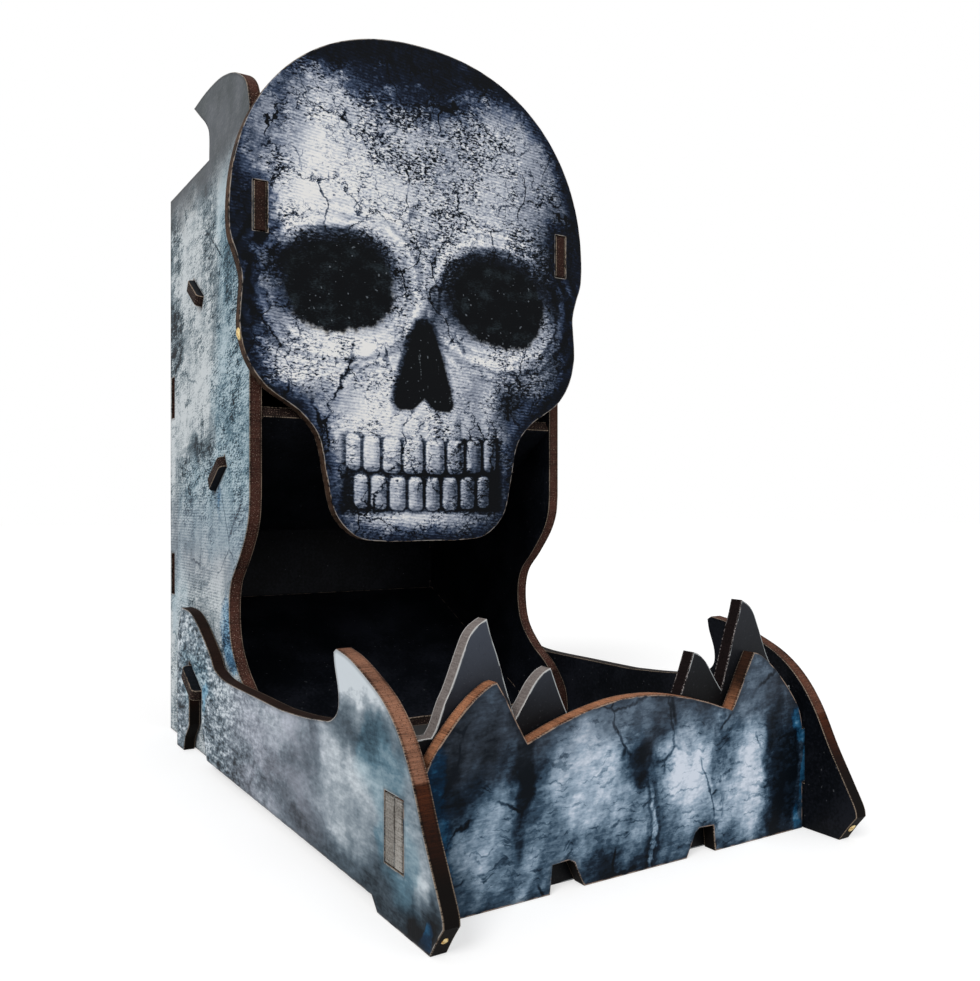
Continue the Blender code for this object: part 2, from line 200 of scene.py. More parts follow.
def inner_points(outlines, spacing):
    """Two rings along the outlines and a grid between them."""
    rings = []
    for ring in (RIM_RING, SECOND_RING):
        points = np.concatenate([outline + inward(outline) * ring for outline in outlines])
        points = points[inside(points, outlines)]
        rings.append(points[edge_distance(points, outlines) > ring * 0.85])
    every = np.concatenate(outlines)
    low = every.min(axis=0)
    high = every.max(axis=0)
    columns, rows = np.meshgrid(np.arange(low[0], high[0], spacing), np.arange(low[1], high[1], spacing))
    grid = np.column_stack((columns.ravel(), rows.ravel()))
    grid = grid[inside(grid, outlines)]
    grid = grid[edge_distance(grid, outlines) > SECOND_RING + spacing / 2]
    return np.concatenate(rings + [grid])


def triangulated(outlines, extra):
    """Points and triangles of a flat face with holes, and where each outline point went."""
    given = np.concatenate(outlines + [extra])
    edges = []
    first = 0
    for outline in outlines:
        edges += [(first + k, first + (k + 1) % len(outline)) for k in range(len(outline))]
        first += len(outline)
    result = delaunay_2d_cdt([Vector(point) for point in given / MILLIMETRE], edges, [], FULL_HULL, CDT_MERGE)
    points = np.array([tuple(vert) for vert in result[0]]) * MILLIMETRE
    triangles = np.array(result[2])
    triangles = triangles[inside(points[triangles].mean(axis=1), outlines)]
    place = {source: k for k, sources in enumerate(result[3]) for source in sources}
    return points, triangles, [place[k] for k in range(first)]


def sheet(name, node, out, body, finish, spacing=COARSE_GRID, painter=None):
    """A fine copy of a CAD sheet: printed face, burnt edges with a small chamfer, and back."""
    flat = Flat(out)
    outlines, top, bottom = face_outlines(node, flat)
    outlines = [divided(rounded(without_straight(outline))) for outline in outlines]
    faces = [outline + inward(outline) * CHAMFER for outline in outlines]
    rim = np.concatenate(outlines)
    front, front_triangles, front_place = triangulated(faces, inner_points(outlines, spacing))
    rear, rear_triangles, rear_place = triangulated(faces, np.empty((0, 2)))
    flats = [front, rear, rim, rim]
    heights = (top, bottom, top - CHAMFER, bottom + CHAMFER)
    firsts = np.cumsum([0] + [len(points) for points in flats])
    polygons = [tuple(triangle) for triangle in front_triangles]
    polygons += [tuple(triangle) for triangle in rear_triangles[:, ::-1] + firsts[1]]
    finishes = [0] * len(front_triangles) + [2] * len(rear_triangles)
    everything = np.concatenate(flats)
    uvs = [[tuple(everything[k]) for k in polygon] for polygon in polygons]
    start = 0
    for outline in outlines:
        size = len(outline)
        lengths = np.linalg.norm(np.roll(outline, -1, axis=0) - outline, axis=1)
        along = np.concatenate(([0], np.cumsum(lengths)))
        for k in range(size):
            ends = (start + k, start + (k + 1) % size)
            rows = (
                (top, [front_place[end] for end in ends]),
                (top - CHAMFER, [firsts[2] + end for end in ends]),
                (bottom + CHAMFER, [firsts[3] + end for end in ends]),
                (bottom, [firsts[1] + rear_place[end] for end in ends]),
            )
            for (high, (a, b)), (low, (c, d)) in zip(rows, rows[1:]):
                polygons.append((b, a, c, d))
                finishes.append(1)
                upper = [(along[k + 1], high - bottom), (along[k], high - bottom)]
                uvs.append(upper + [(along[k], low - bottom), (along[k + 1], low - bottom)])
        start += size
    mesh = bpy.data.meshes.new(name)
    verts = [flat.raised(points, height) for points, height in zip(flats, heights)]
    mesh.from_pydata(np.concatenate(verts).tolist(), [], polygons)
    layer = mesh.uv_layers.new(name="UVMap")
    layer.data.foreach_set("uv", np.array([uv for polygon in uvs for uv in polygon], np.float32).ravel())
    mesh.polygons.foreach_set("material_index", finishes)
    values = {"edge": edge_distance(everything, outlines)}
    if painter:
        values.update(painter(everything))
    for key, numbers in values.items():
        attribute = mesh.attributes.new(key, "FLOAT", "POINT")
        attribute.data.foreach_set("value", numbers.astype(np.float32))
    for material in finish:
        mesh.materials.append(material)
    mesh.shade_smooth()
    mesh.set_sharp_from_angle(angle=SMOOTH_TURN)
    piece = bpy.data.objects.new(name, mesh)
    bpy.context.scene.collection.objects.link(piece)
    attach(piece, body)
    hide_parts(node)
    return piece


# ---------- Node trees ----------


class Wire:
    """A value that runs through a node tree, with plain arithmetic on it."""

    def __init__(self, tree, socket):
        self.tree = tree
        self.socket = socket

    def __add__(self, other):
        return maths("ADD", self, other)

    def __sub__(self, other):
        return maths("SUBTRACT", self, other)

    def __rsub__(self, other):
        return maths("SUBTRACT", other, self)

    def __mul__(self, other):
        return maths("MULTIPLY", self, other)

    def __truediv__(self, other):
        return maths("DIVIDE", self, other)

    __radd__ = __add__
    __rmul__ = __mul__


def feed(socket, value):
    """Sets a socket to a number or colour, or links a wire to it."""
    if isinstance(value, Wire):
        value.tree.links.new(value.socket, socket)
    else:
        socket.default_value = value


def maths(operation, *values):
    tree = next(value.tree for value in values if isinstance(value, Wire))
    node = tree.nodes.new("ShaderNodeMath")
    node.operation = operation
    for socket, value in zip(node.inputs, values):
        feed(socket, value)
    return Wire(tree, node.outputs[0])


def vector_maths(operation, vector, value, output=0):
    node = vector.tree.nodes.new("ShaderNodeVectorMath")
    node.operation = operation
    feed(node.inputs[0], vector)
    if value is not None:
        feed(node.inputs[1], value)
    return Wire(vector.tree, node.outputs[output])


def object_point(tree):
    """The point on the piece, in metres."""
    return Wire(tree, tree.nodes.new("ShaderNodeTexCoord").outputs["Object"])


def attribute(tree, name):
    node = tree.nodes.new("ShaderNodeAttribute")
    node.attribute_name = name
    return Wire(tree, node.outputs["Fac"])


def along_and_through(tree):
    """On a cut edge: the way along the outline, and through the sheet, as one vector."""
    return Wire(tree, tree.nodes.new("ShaderNodeTexCoord").outputs["UV"])


def parts(vector):
    node = vector.tree.nodes.new("ShaderNodeSeparateXYZ")
    feed(node.inputs[0], vector)
    return [Wire(vector.tree, output) for output in node.outputs]


def joined(*values):
    tree = next(value.tree for value in values if isinstance(value, Wire))
    node = tree.nodes.new("ShaderNodeCombineXYZ")
    for socket, value in zip(node.inputs, values):
        feed(socket, value)
    return Wire(tree, node.outputs[0])


def stretched(vector, sizes):
    """The vector counted in cells of these sizes."""
    return vector_maths("DIVIDE", vector, sizes)


def noise(vector, detail=3.0, roughness=0.55, distortion=0.0, shift=0.0):
    """Cloudy noise around a half, with cells of size one."""
    node = vector.tree.nodes.new("ShaderNodeTexNoise")
    node.inputs["Scale"].default_value = 1
    node.inputs["Detail"].default_value = detail
    node.inputs["Roughness"].default_value = roughness
    node.inputs["Distortion"].default_value = distortion
    feed(node.inputs["Vector"], vector_maths("ADD", vector, (shift, shift, shift)) if shift else vector)
    return Wire(vector.tree, node.outputs["Fac"])


def cracks(vector, detail=0.0):
    """Distance to the borders of scattered cells of size one."""
    node = vector.tree.nodes.new("ShaderNodeTexVoronoi")
    node.feature = "DISTANCE_TO_EDGE"
    node.inputs["Scale"].default_value = 1
    node.inputs["Detail"].default_value = detail
    feed(node.inputs["Vector"], vector)
    return Wire(vector.tree, node.outputs["Distance"])


def rise(value, low, high, bottom=0.0, top=1.0):
    """A smooth step from bottom to top while value goes from low to high."""
    node = value.tree.nodes.new("ShaderNodeMapRange")
    node.interpolation_type = "SMOOTHSTEP"
    for key, number in (("From Min", low), ("From Max", high), ("To Min", bottom), ("To Max", top)):
        node.inputs[key].default_value = number
    feed(node.inputs["Value"], value)
    return Wire(value.tree, node.outputs["Result"])


def linear(colour):
    """A display colour, 0 to 255, as scene light."""
    shares = [channel / 255 for channel in colour]
    return (*(s / 12.92 if s <= 0.04045 else ((s + 0.055) / 1.055) ** 2.4 for s in shares), 1.0)


def mixed(below, above, share):
    """Two colours mixed; a tuple is a display colour."""
    node = share.tree.nodes.new("ShaderNodeMix")
    node.data_type = "RGBA"
    feed(node.inputs[0], share)
    for socket, colour in ((node.inputs[6], below), (node.inputs[7], above)):
        feed(socket, colour if isinstance(colour, Wire) else linear(colour))
    return Wire(share.tree, node.outputs[2])


def toned(value, stops):
    """A colour from a tone, by display colours at given tones."""
    node = value.tree.nodes.new("ShaderNodeValToRGB")
    ramp = node.color_ramp
    while len(ramp.elements) < len(stops):
        ramp.elements.new(0.5)
    for element, (tone, colour) in zip(ramp.elements, stops):
        element.position = tone
        element.color = linear(colour)
    feed(node.inputs[0], value)
    return Wire(value.tree, node.outputs[0])


def spot(point, centre, reach, soft=0.5):
    """One inside a soft oval round a centre, none outside."""
    distance = vector_maths("LENGTH", stretched(vector_maths("SUBTRACT", point, centre), reach), None, 1)
    return rise(distance, 1 - soft, 1 + soft, 1, 0)


def spots(point, table):
    """The sum of soft spots, each (across, up, reach across, reach up, strength), in shares."""
    total = 0.0
    for across, up, reach_across, reach_up, strength in table:
        total = spot(point, (across, up, 0), (reach_across, reach_up, 1)) * strength + total
    return total


def sheet_shares(tree, node, axis):
    """The point on a sheet as shares of the sheet's box: along an axis, and up."""
    low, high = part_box(node)
    place = parts(object_point(tree))
    across = (place[axis] - low[axis]) / (high[axis] - low[axis])
    return joined(across, (place[2] - low[2]) / (high[2] - low[2]), 0.0)


def embossed(point, size, tall=1.0, shift=0.0):
    """Fine relief lit from the upper left: positive on lit slopes, negative on the far ones."""
    cells = stretched(point, (size, size, size * tall))
    here = noise(cells, 2.0, 0.65, shift=shift)
    there = noise(vector_maths("ADD", cells, (-0.30, 0.30, 0.34)), 2.0, 0.65, shift=shift)
    return here - there


def new_material(name, roughness, specular):
    material = bpy.data.materials.new(name)
    material.use_nodes = True
    shader = material.node_tree.nodes["Principled BSDF"]
    shader.inputs["Roughness"].default_value = roughness
    shader.inputs["Specular IOR Level"].default_value = specular
    return material, material.node_tree, shader


def relief(shader, height, depth):
    """Bumps up to a depth in metres."""
    tree = height.tree
    node = tree.nodes.new("ShaderNodeBump")
    node.inputs["Strength"].default_value = 1
    node.inputs["Distance"].default_value = depth
    feed(node.inputs["Height"], height)
    tree.links.new(node.outputs["Normal"], shader.inputs["Normal"])


# ---------- Materials ----------

SHEET = 0.003
TAB_END = 0.0483

# Gloss of the printed faces and of the black ones
PRINT_GLOSS = 0.05
BLACK_GLOSS = 0.07
EDGE_GLOSS = 0.06

# Stains keep a print's tones but take their colours from their own stops
TEAL_STAIN = ((0.0, (5, 11, 17)), (0.3, (32, 56, 70)), (0.6, (84, 119, 136)), (1.0, (172, 194, 204)))
BLUE_STAIN = ((0.0, (3, 10, 18)), (0.3, (10, 40, 64)), (0.6, (38, 96, 134)), (1.0, (134, 182, 208)))
NIGHT_STAIN = ((0.0, (3, 6, 12)), (0.18, (16, 28, 50)), (0.45, (60, 80, 114)), (1.0, (190, 200, 216)))

# Spots of the side panel's print, one of which also paints the skull plate's shadow: back and up shares, their reach,
# and strength; first dark, then light ones
SIDE_DARK_SHARES = (
    (1.0, 0.805, 0.15, 0.050, 1.0),
    (1.0, 0.665, 0.16, 0.060, 1.7),
    (0.80, 0.37, 0.13, 0.10, 0.80),
    (0.74, 0.66, 0.07, 0.03, 0.45),
    (0.60, 0.465, 0.14, 0.018, 0.7),
    (0.47, 0.82, 0.07, 0.10, 0.55),
    # This print spot is made stronger to paint the skull plate's shadow on the panel as well.
    (0.19, 0.72, 0.12, 0.12, 1.10),
    (0.56, 0.86, 0.06, 0.05, 0.60),
    (0.42, 0.66, 0.07, 0.06, 0.60),
    (0.24, 0.54, 0.12, 0.07, 0.55),
    (0.45, 0.45, 0.20, 0.05, 0.60),
    (0.66, 0.40, 0.08, 0.08, 0.55),
    (0.12, 0.42, 0.15, 0.12, 0.55),
    (0.46, 0.36, 0.12, 0.05, 0.45),
    (0.94, 0.30, 0.05, 0.10, 0.40),
    (0.74, 0.17, 0.08, 0.12, 0.45),
    (0.40, 0.26, 0.30, 0.07, 0.25),
)
SIDE_LIGHT_SHARES = (
    (0.30, 0.825, 0.10, 0.04, 0.26),
    (0.72, 0.75, 0.14, 0.10, 0.20),
    (0.56, 0.55, 0.14, 0.05, 0.30),
    (0.42, 0.28, 0.10, 0.05, 0.14),
    (0.90, 0.49, 0.14, 0.08, 0.24),
    (0.80, 0.28, 0.10, 0.10, 0.16),
    (0.32, 0.25, 0.06, 0.05, 0.16),
    (0.97, 0.12, 0.08, 0.10, 0.14),
)
SIDE_BLUE_SHARES = (
    (0.27, 0.20, 0.10, 0.045, 0.8),
    (0.20, 0.165, 0.08, 0.035, 1.0),
    (0.44, 0.42, 0.06, 0.03, 0.6),
    (0.38, 0.385, 0.05, 0.03, 0.55),
)
SIDE_TEAL_SHARES = (
    (0.22, 0.58, 0.22, 0.14, 0.8),
    (0.14, 0.42, 0.22, 0.14, 0.9),
    (0.55, 0.38, 0.30, 0.08, 0.7),
    (0.20, 0.80, 0.20, 0.10, 0.8),
    (0.85, 0.20, 0.12, 0.14, 0.5),
)
SIDE_TONES = (
    (0.0, (10, 14, 20)), (0.25, (46, 60, 70)), (0.5, (98, 114, 122)), (0.68, (136, 148, 155)),
    (0.84, (170, 179, 184)), (1.0, (204, 210, 213)),
)
FIN_SHARE = 0.85
FIN_GREY = (80, 85, 88)
FIN_PALE_GREY = (98, 102, 107)


def pale_margin(colour, point, edge, strength, paint=(196, 190, 184)):
    """The thin pale line that the laser leaves beside a print's cut edge, broken here and there."""
    broken = rise(noise(stretched(point, (0.003, 0.003, 0.003)), 3.0), 0.40, 0.56)
    return mixed(colour, paint, rise(edge, 0.00012, 0.0003, 1, 0) * broken * strength)


def side_print(node):
    """Cool greys in upright streaks with a fine crinkle in painted light and shade, teal and blue stains, and a plain
    grey fin.
    """
    material, tree, shader = new_material("side_print", 0.55, PRINT_GLOSS)
    point = object_point(tree)
    edge = attribute(tree, "edge")
    shares = sheet_shares(tree, node, 1)
    wander = noise(stretched(point, (0.012, 0.012, 0.020)), 3.0)
    moved = vector_maths("ADD", shares, joined((wander - 0.5) * 0.22, (wander - 0.5) * 0.10, 0.0))
    streaks = noise(stretched(point, (0.007, 0.007, 0.050)), 4.0, 0.6)
    clouds = noise(stretched(point, (0.015, 0.015, 0.012)), 5.0, 0.65, 0.6, shift=3.0)
    grain = noise(stretched(point, (0.0018, 0.0018, 0.0007)), 2.0, 0.6)
    dark = spots(moved, SIDE_DARK_SHARES) * rise(clouds, 0.34, 0.62, 0.45, 1.25)
    teal = rise(spots(moved, SIDE_TEAL_SHARES) + (clouds - 0.5), 0.1, 0.9)
    across, up, _ = parts(shares)
    calm = rise(up + (wander - 0.5) * 0.10, 0.16, 0.24) * rise(up + (wander - 0.5) * 0.10, 0.32, 0.40, 1, 0)
    tone = 0.85 - rise(streaks, 0.40, 0.66) * 0.10 - dark * 0.44 + spots(moved, SIDE_LIGHT_SHARES)
    tone = tone + (clouds - 0.5) * (calm * -0.34 + 0.58) + (wander - 0.5) * 0.30
    plain = rise(up + (clouds - 0.5) * 0.10, FIN_SHARE - 0.04, FIN_SHARE + 0.04)
    coarse = rise(noise(stretched(point, (0.014, 0.014, 0.012)), 2.0, shift=9.0), 0.36, 0.62, 0.45, 1.25)
    # Painted light and shade of a fine crinkled relief, lit from the upper left.
    crinkle_light = embossed(point, 0.0015, 0.36) * (teal * 0.4 + 1.5)
    crinkle_light = crinkle_light + embossed(point, 0.0075, 0.45, 3.0) * (dark * 0.4 + 1.2)
    crinkle_light = crinkle_light + embossed(point, 0.0011, 0.30, 6.0) * (teal * 0.4 + 1.0)
    tone = tone + crinkle_light * coarse * (calm * -0.5 + 1)
    tone = tone - rise(grain, 0.58, 0.68) * (dark * 0.4 + 0.16)
    bend = vector_maths("ADD", point, joined(wander * 0.01, wander * 0.01, wander * 0.01))
    crack = cracks(stretched(bend, (0.026, 0.026, 0.026)))
    some = rise(noise(stretched(point, (0.02, 0.02, 0.02)), 2.0, shift=7.0), 0.50, 0.60)
    tone = tone - rise(crack, 0.004, 0.018, 1, 0) * some * 0.4
    lines = maths("SINE", (parts(point)[2] + grain * 0.0002) * (2 * math.pi / 0.0008))
    tone = tone + lines * rise(up, 0.36, 0.46, 1, 0) * rise(up, 0.14, 0.26) * rise(clouds, 0.40, 0.60, 0.13, 0.03)
    colour = toned(tone, SIDE_TONES)
    colour = mixed(colour, toned(tone + 0.24, TEAL_STAIN), teal * 0.7)
    mauve = rise(up, 0.22, 0.30) * rise(up, 0.33, 0.42, 1, 0)
    colour = mixed(colour, (128, 128, 142), mauve * 0.25)
    blue = rise(spots(moved, SIDE_BLUE_SHARES) + (grain - 0.5) * 0.9, 0.35, 0.95)
    colour = mixed(colour, toned(tone - 0.15, BLUE_STAIN), blue * 0.85)
    fin_tone = noise(stretched(point, (0.012, 0.012, 0.012)), 3.0, shift=5.0)
    fin = mixed(FIN_GREY, FIN_PALE_GREY, rise(fin_tone, 0.35, 0.70))
    # Painted highlights and shade of the crinkle on the grey fin.
    fin = mixed(fin, (150, 152, 156), rise(crinkle_light, 0.06, 0.40) * 0.15)
    fin = mixed(fin, (52, 56, 61), rise(crinkle_light, -0.06, -0.40) * 0.16)
    fin = mixed(fin, (176, 178, 178), rise(grain, 0.72, 0.78) * 0.5)
    colour = mixed(colour, fin, plain)
    colour = mixed(colour, (50, 52, 55), rise(edge, 0.0002, 0.0011, 1, 0) * 0.5)
    colour = pale_margin(colour, point, edge, 0.55)
    feed(shader.inputs["Base Color"], colour)
    relief(shader, noise(stretched(point, (0.0020, 0.0020, 0.0008)), 2.0), 0.00006)
    return material


TRAY_LIGHT_SHARES = (
    (0.215, 0.95, 0.08, 0.20, 0.42),
    (0.60, 0.62, 0.16, 0.24, 0.16),
    (0.27, 0.52, 0.09, 0.14, 0.16),
    (0.30, 0.24, 0.08, 0.12, 0.14),
    (0.45, 0.50, 0.05, 0.15, 0.10),
    (0.175, 0.50, 0.05, 0.11, 0.14),
    (0.045, 0.17, 0.025, 0.10, 0.34),
    (0.73, 0.50, 0.05, 0.25, 0.10),
)
TRAY_DARK_SHARES = (
    (0.205, 0.72, 0.09, 0.12, 0.30),
    (0.42, 0.26, 0.10, 0.18, 0.20),
    (0.66, 0.10, 0.09, 0.14, 0.16),
    (0.13, 0.06, 0.11, 0.16, 0.42),
    (0.03, 0.02, 0.06, 0.16, 0.65),
    (0.32, 0.11, 0.07, 0.12, 0.36),
    (0.34, 0.55, 0.035, 0.16, 0.30),
)
TRAY_TEAL_SHARES = (
    (0.155, 0.62, 0.06, 0.18, 1.0),
    (0.09, 0.22, 0.06, 0.12, 0.5),
    (0.10, 0.40, 0.05, 0.20, 0.6),
    (0.88, 0.52, 0.10, 0.24, 0.7),
    (0.56, 0.70, 0.08, 0.16, 0.4),
)
TRAY_BLUE_SHARES = (
    (0.035, 0.05, 0.022, 0.06, 1.8),
    (0.825, 0.46, 0.012, 0.12, 0.8),
)
TRAY_TONES = (
    (0.0, (6, 8, 12)), (0.22, (34, 44, 52)), (0.45, (80, 94, 105)), (0.62, (114, 128, 138)),
    (0.80, (156, 167, 176)), (1.0, (210, 218, 224)),
)


def tray_print(node):
    """Light mottled clouds that darken towards the foot, with teal and blue stains."""
    material, tree, shader = new_material("tray_print", 0.55, PRINT_GLOSS)
    point = object_point(tree)
    edge = attribute(tree, "edge")
    shares = sheet_shares(tree, node, 1)
    wander = noise(stretched(point, (0.010, 0.010, 0.010)), 3.0, shift=2.0)
    moved = vector_maths("ADD", shares, joined((wander - 0.5) * 0.12, (wander - 0.5) * 0.30, 0.0))
    clouds = noise(stretched(point, (0.014, 0.014, 0.0060)), 4.0, 0.55, 0.4)
    streaks = noise(stretched(point, (0.016, 0.016, 0.0045)), 3.0, 0.5, 0.5, shift=4.0)
    grain = noise(stretched(point, (0.0012, 0.0012, 0.0010)), 2.0, 0.6)
    across, up, _ = parts(shares)
    sharp = rise(across, 0.35, 0.85, 0.20, 1.05)
    tone = rise(across, 0.30, 0.60, 0.70, 0.61) + (clouds - 0.5) * 0.46 + (streaks - 0.5) * 0.22
    tone = tone + spots(moved, TRAY_LIGHT_SHARES) - spots(moved, TRAY_DARK_SHARES)
    # Painted light and shade of a fine crinkled relief, lit from the upper left.
    crinkle_light = embossed(point, 0.0028, 0.40) * 1.5 + embossed(point, 0.0090, 0.40, 3.0) * 1.1
    crinkle_light = crinkle_light + embossed(point, 0.0015, 0.34, 6.0) * 0.7
    tone = tone + crinkle_light * sharp
    tone = tone - rise(grain, 0.60, 0.72) * sharp * 0.12
    bend = vector_maths("ADD", point, joined(wander * 0.01, wander * 0.01, wander * 0.01))
    crack = cracks(stretched(bend, (0.022, 0.022, 0.022)))
    some = rise(noise(stretched(point, (0.015, 0.015, 0.015)), 2.0, shift=1.0), 0.50, 0.60) * sharp
    tone = tone - rise(crack, 0.003, 0.02, 1, 0) * some * 0.30
    colour = toned(tone, TRAY_TONES)
    mauve = rise(across, 0.24, 0.40) * rise(across, 0.55, 0.75, 1, 0)
    colour = mixed(colour, mixed((32, 36, 46), (184, 188, 202), tone), mauve * rise(clouds, 0.35, 0.60, 0.3, 0.7))
    teal = rise(spots(moved, TRAY_TEAL_SHARES) + (clouds - 0.5) * 1.2, 0.2, 0.9)
    colour = mixed(colour, toned(tone, TEAL_STAIN), teal * 0.8)
    blue = rise(spots(moved, TRAY_BLUE_SHARES) + (grain - 0.5) * 0.8, 0.30, 1.0)
    colour = mixed(colour, toned(tone + 0.40, BLUE_STAIN), blue * 0.85)
    colour = mixed(colour, (50, 52, 56), rise(edge, 0.0002, 0.0010, 1, 0) * 0.4)
    colour = pale_margin(colour, point, edge, 0.6)
    feed(shader.inputs["Base Color"], colour)
    relief(shader, noise(stretched(point, (0.0010, 0.0010, 0.0014)), 2.0), 0.00004)
    return material


# Spots of the front wall's print, from the wall's left end
FRONT_LIGHT_SHARES = (
    (0.17, 0.33, 0.055, 0.27, 0.50),
    (0.370, 0.50, 0.065, 0.26, 0.80),
    (0.250, 0.10, 0.030, 0.12, 0.35),
    (0.31, 0.20, 0.050, 0.18, 0.40),
    (0.475, 0.27, 0.050, 0.20, 0.70),
    (0.60, 0.50, 0.055, 0.18, 0.45),
    (0.635, 0.44, 0.075, 0.28, 0.54),
    (0.815, 0.42, 0.050, 0.28, 0.66),
    (0.730, 0.20, 0.040, 0.20, 0.30),
    (0.79, 0.12, 0.03, 0.10, 0.30),
    (0.70, 0.30, 0.16, 0.30, 0.34),
    (0.43, 0.70, 0.08, 0.10, 0.30),
    (0.52, 0.84, 0.22, 0.06, 0.12),
)
FRONT_DARK_SHARES = (
    (0.235, 0.62, 0.022, 0.30, 0.42),
    (0.50, 0.58, 0.032, 0.16, 0.34),
    (0.03, 0.10, 0.050, 0.24, 0.45),
    (0.40, 0.10, 0.040, 0.12, 0.14),
    (0.715, 0.50, 0.014, 0.22, 0.34),
    (0.88, 0.30, 0.030, 0.45, 0.50),
    (0.93, 0.45, 0.020, 0.40, 0.40),
    (0.05, 0.45, 0.060, 0.40, 0.20),
    (0.12, 0.66, 0.08, 0.20, 0.20),
    (0.84, 0.72, 0.06, 0.12, 0.10),
)
FRONT_BLUE_SHARES = (
    (0.03, 0.60, 0.040, 0.30, 1.1),
    (0.06, 0.30, 0.050, 0.34, 0.75),
    (0.12, 0.74, 0.050, 0.20, 0.35),
    (0.955, 0.60, 0.022, 0.10, 1.1),
    (0.980, 0.34, 0.014, 0.16, 1.5),
    (0.965, 0.08, 0.016, 0.06, 0.8),
)
FRONT_TONES = (
    (0.0, (5, 10, 16)), (0.2, (20, 32, 45)), (0.4, (54, 74, 92)), (0.6, (104, 125, 143)),
    (0.8, (154, 171, 188)), (1.0, (202, 210, 222)),
)


def front_print(node):
    """Slate blue with pale upright clouds and folds, a crackle in the middle, and sky blue at both ends."""
    material, tree, shader = new_material("front_print", 0.52, PRINT_GLOSS)
    point = object_point(tree)
    edge = attribute(tree, "edge")
    shares = sheet_shares(tree, node, 0)
    wander = noise(stretched(point, (0.007, 0.007, 0.010)), 4.0, 0.6, shift=2.0)
    other = noise(stretched(point, (0.007, 0.007, 0.010)), 4.0, 0.6, shift=9.0)
    moved = vector_maths("ADD", shares, joined((wander - 0.5) * 0.12, (other - 0.5) * 0.36, 0.0))
    clouds = noise(stretched(point, (0.006, 0.006, 0.009)), 3.0, 0.5)
    leaning = vector_maths("ADD", point, joined(parts(point)[2] * -0.4, 0.0, 0.0))
    folds = noise(stretched(leaning, (0.0055, 0.0055, 0.030)), 2.0, 0.45, 0.4, shift=5.0)
    grain = noise(stretched(point, (0.0009, 0.0009, 0.0009)), 3.0, 0.65)
    light = spots(moved, FRONT_LIGHT_SHARES)
    tone = 0.30 + light * 0.58 - spots(moved, FRONT_DARK_SHARES) * 0.7
    tone = tone + (clouds - 0.5) * 0.30 + (folds - 0.5) * 0.72
    # Painted light and shade of a fine relief, lit from the upper left.
    tone = tone + embossed(point, 0.0013, 0.5) * 0.34 + embossed(point, 0.0050, 0.5, 3.0) * 0.46
    creased = vector_maths("ADD", point, joined(0.0, 0.0, wander * 0.007))
    creases = noise(stretched(creased, (0.0050, 0.0050, 0.0011)), 3.0, 0.6, 0.5, shift=7.0)
    tone = tone - rise(creases, 0.55, 0.66) * rise(light, 0.1, 0.5, 0.06, 0.22)
    flecks = rise(grain, 0.58, 0.70) * rise(clouds, 0.40, 0.58)
    tone = tone - flecks * 0.10
    cell = vector_maths("ADD", point, joined(wander * 0.006, wander * 0.006, other * 0.006))
    crack = cracks(stretched(cell, (0.011, 0.011, 0.013)))
    some = rise(noise(stretched(point, (0.012, 0.012, 0.012)), 2.0, shift=6.0), 0.50, 0.60)
    tone = tone - rise(crack, 0.004, 0.04, 1, 0) * some * 0.34
    across, up, _ = parts(shares)
    vein = maths("ABSOLUTE", across + (wander - 0.5) * 0.06 + (other - 0.5) * 0.03 - 0.535)
    tone = tone + rise(vein, 0.0015, 0.006, 0.30, 0) * rise(up, 0.30, 0.45, 1, 0) * rise(grain, 0.35, 0.55, 0.4, 1)
    tone = tone - rise(vein, 0.006, 0.016, 0.16, 0) * rise(vein, 0.002, 0.006) * rise(up, 0.35, 0.50, 1, 0)
    colour = toned(tone, FRONT_TONES)
    smoky = rise(parts(shares)[1] + (wander - 0.5) * 0.5, 0.50, 0.80)
    colour = mixed(colour, mixed((22, 28, 36), (116, 126, 140), tone * 0.8 + 0.10), smoky * 0.5)
    blue = rise(spots(moved, FRONT_BLUE_SHARES) + (clouds - 0.5) * 1.5 + (grain - 0.5) * 0.8, 0.30, 1.10)
    colour = mixed(colour, toned(tone + blue * 0.25, BLUE_STAIN), blue * 0.85)
    colour = mixed(colour, (14, 18, 26), rise(edge, 0.0002, 0.0012, 1, 0) * 0.45)
    colour = pale_margin(colour, point, edge, 0.6, (186, 160, 140))
    feed(shader.inputs["Base Color"], colour)
    relief(shader, noise(stretched(point, (0.0009, 0.0009, 0.0009)), 2.0), 0.00004)
    return material


# Skull artwork, in half widths of the plate from its middle and its lowest point
SOCKET_CENTRE_SHARES = (0.455, 1.235)
SOCKET_REACH_SHARES = (0.292, 0.222)
SOCKET_DROOP = math.radians(9)
NOSE_SHARES = (0.655, 1.10, 0.188)
UPPER_TEETH_SHARES = (0.125, 0.115, 0.105, 0.092)
LOWER_TEETH_SHARES = (0.098, 0.105, 0.102, 0.090)
UPPER_ROW_SHARES = (0.335, 0.515)
LOWER_ROW_SHARES = (0.150, 0.322)
TOOTH_GAP_SHARE = 0.013
LIGHT_FROM = np.array((-0.42, 0.55, 0.72)) / np.linalg.norm((-0.42, 0.55, 0.72))


def ease(value, low, high):
    share = np.clip((value - low) / (high - low), 0, 1)
    return share * share * (3 - 2 * share)


def hill(across, up, centre, reach, turn=0.0):
    """A round hill of height one."""
    x = (across - centre[0]) * math.cos(turn) + (up - centre[1]) * math.sin(turn)
    y = (up - centre[1]) * math.cos(turn) - (across - centre[0]) * math.sin(turn)
    return np.exp(-(x / reach[0]) ** 2 - (y / reach[1]) ** 2)


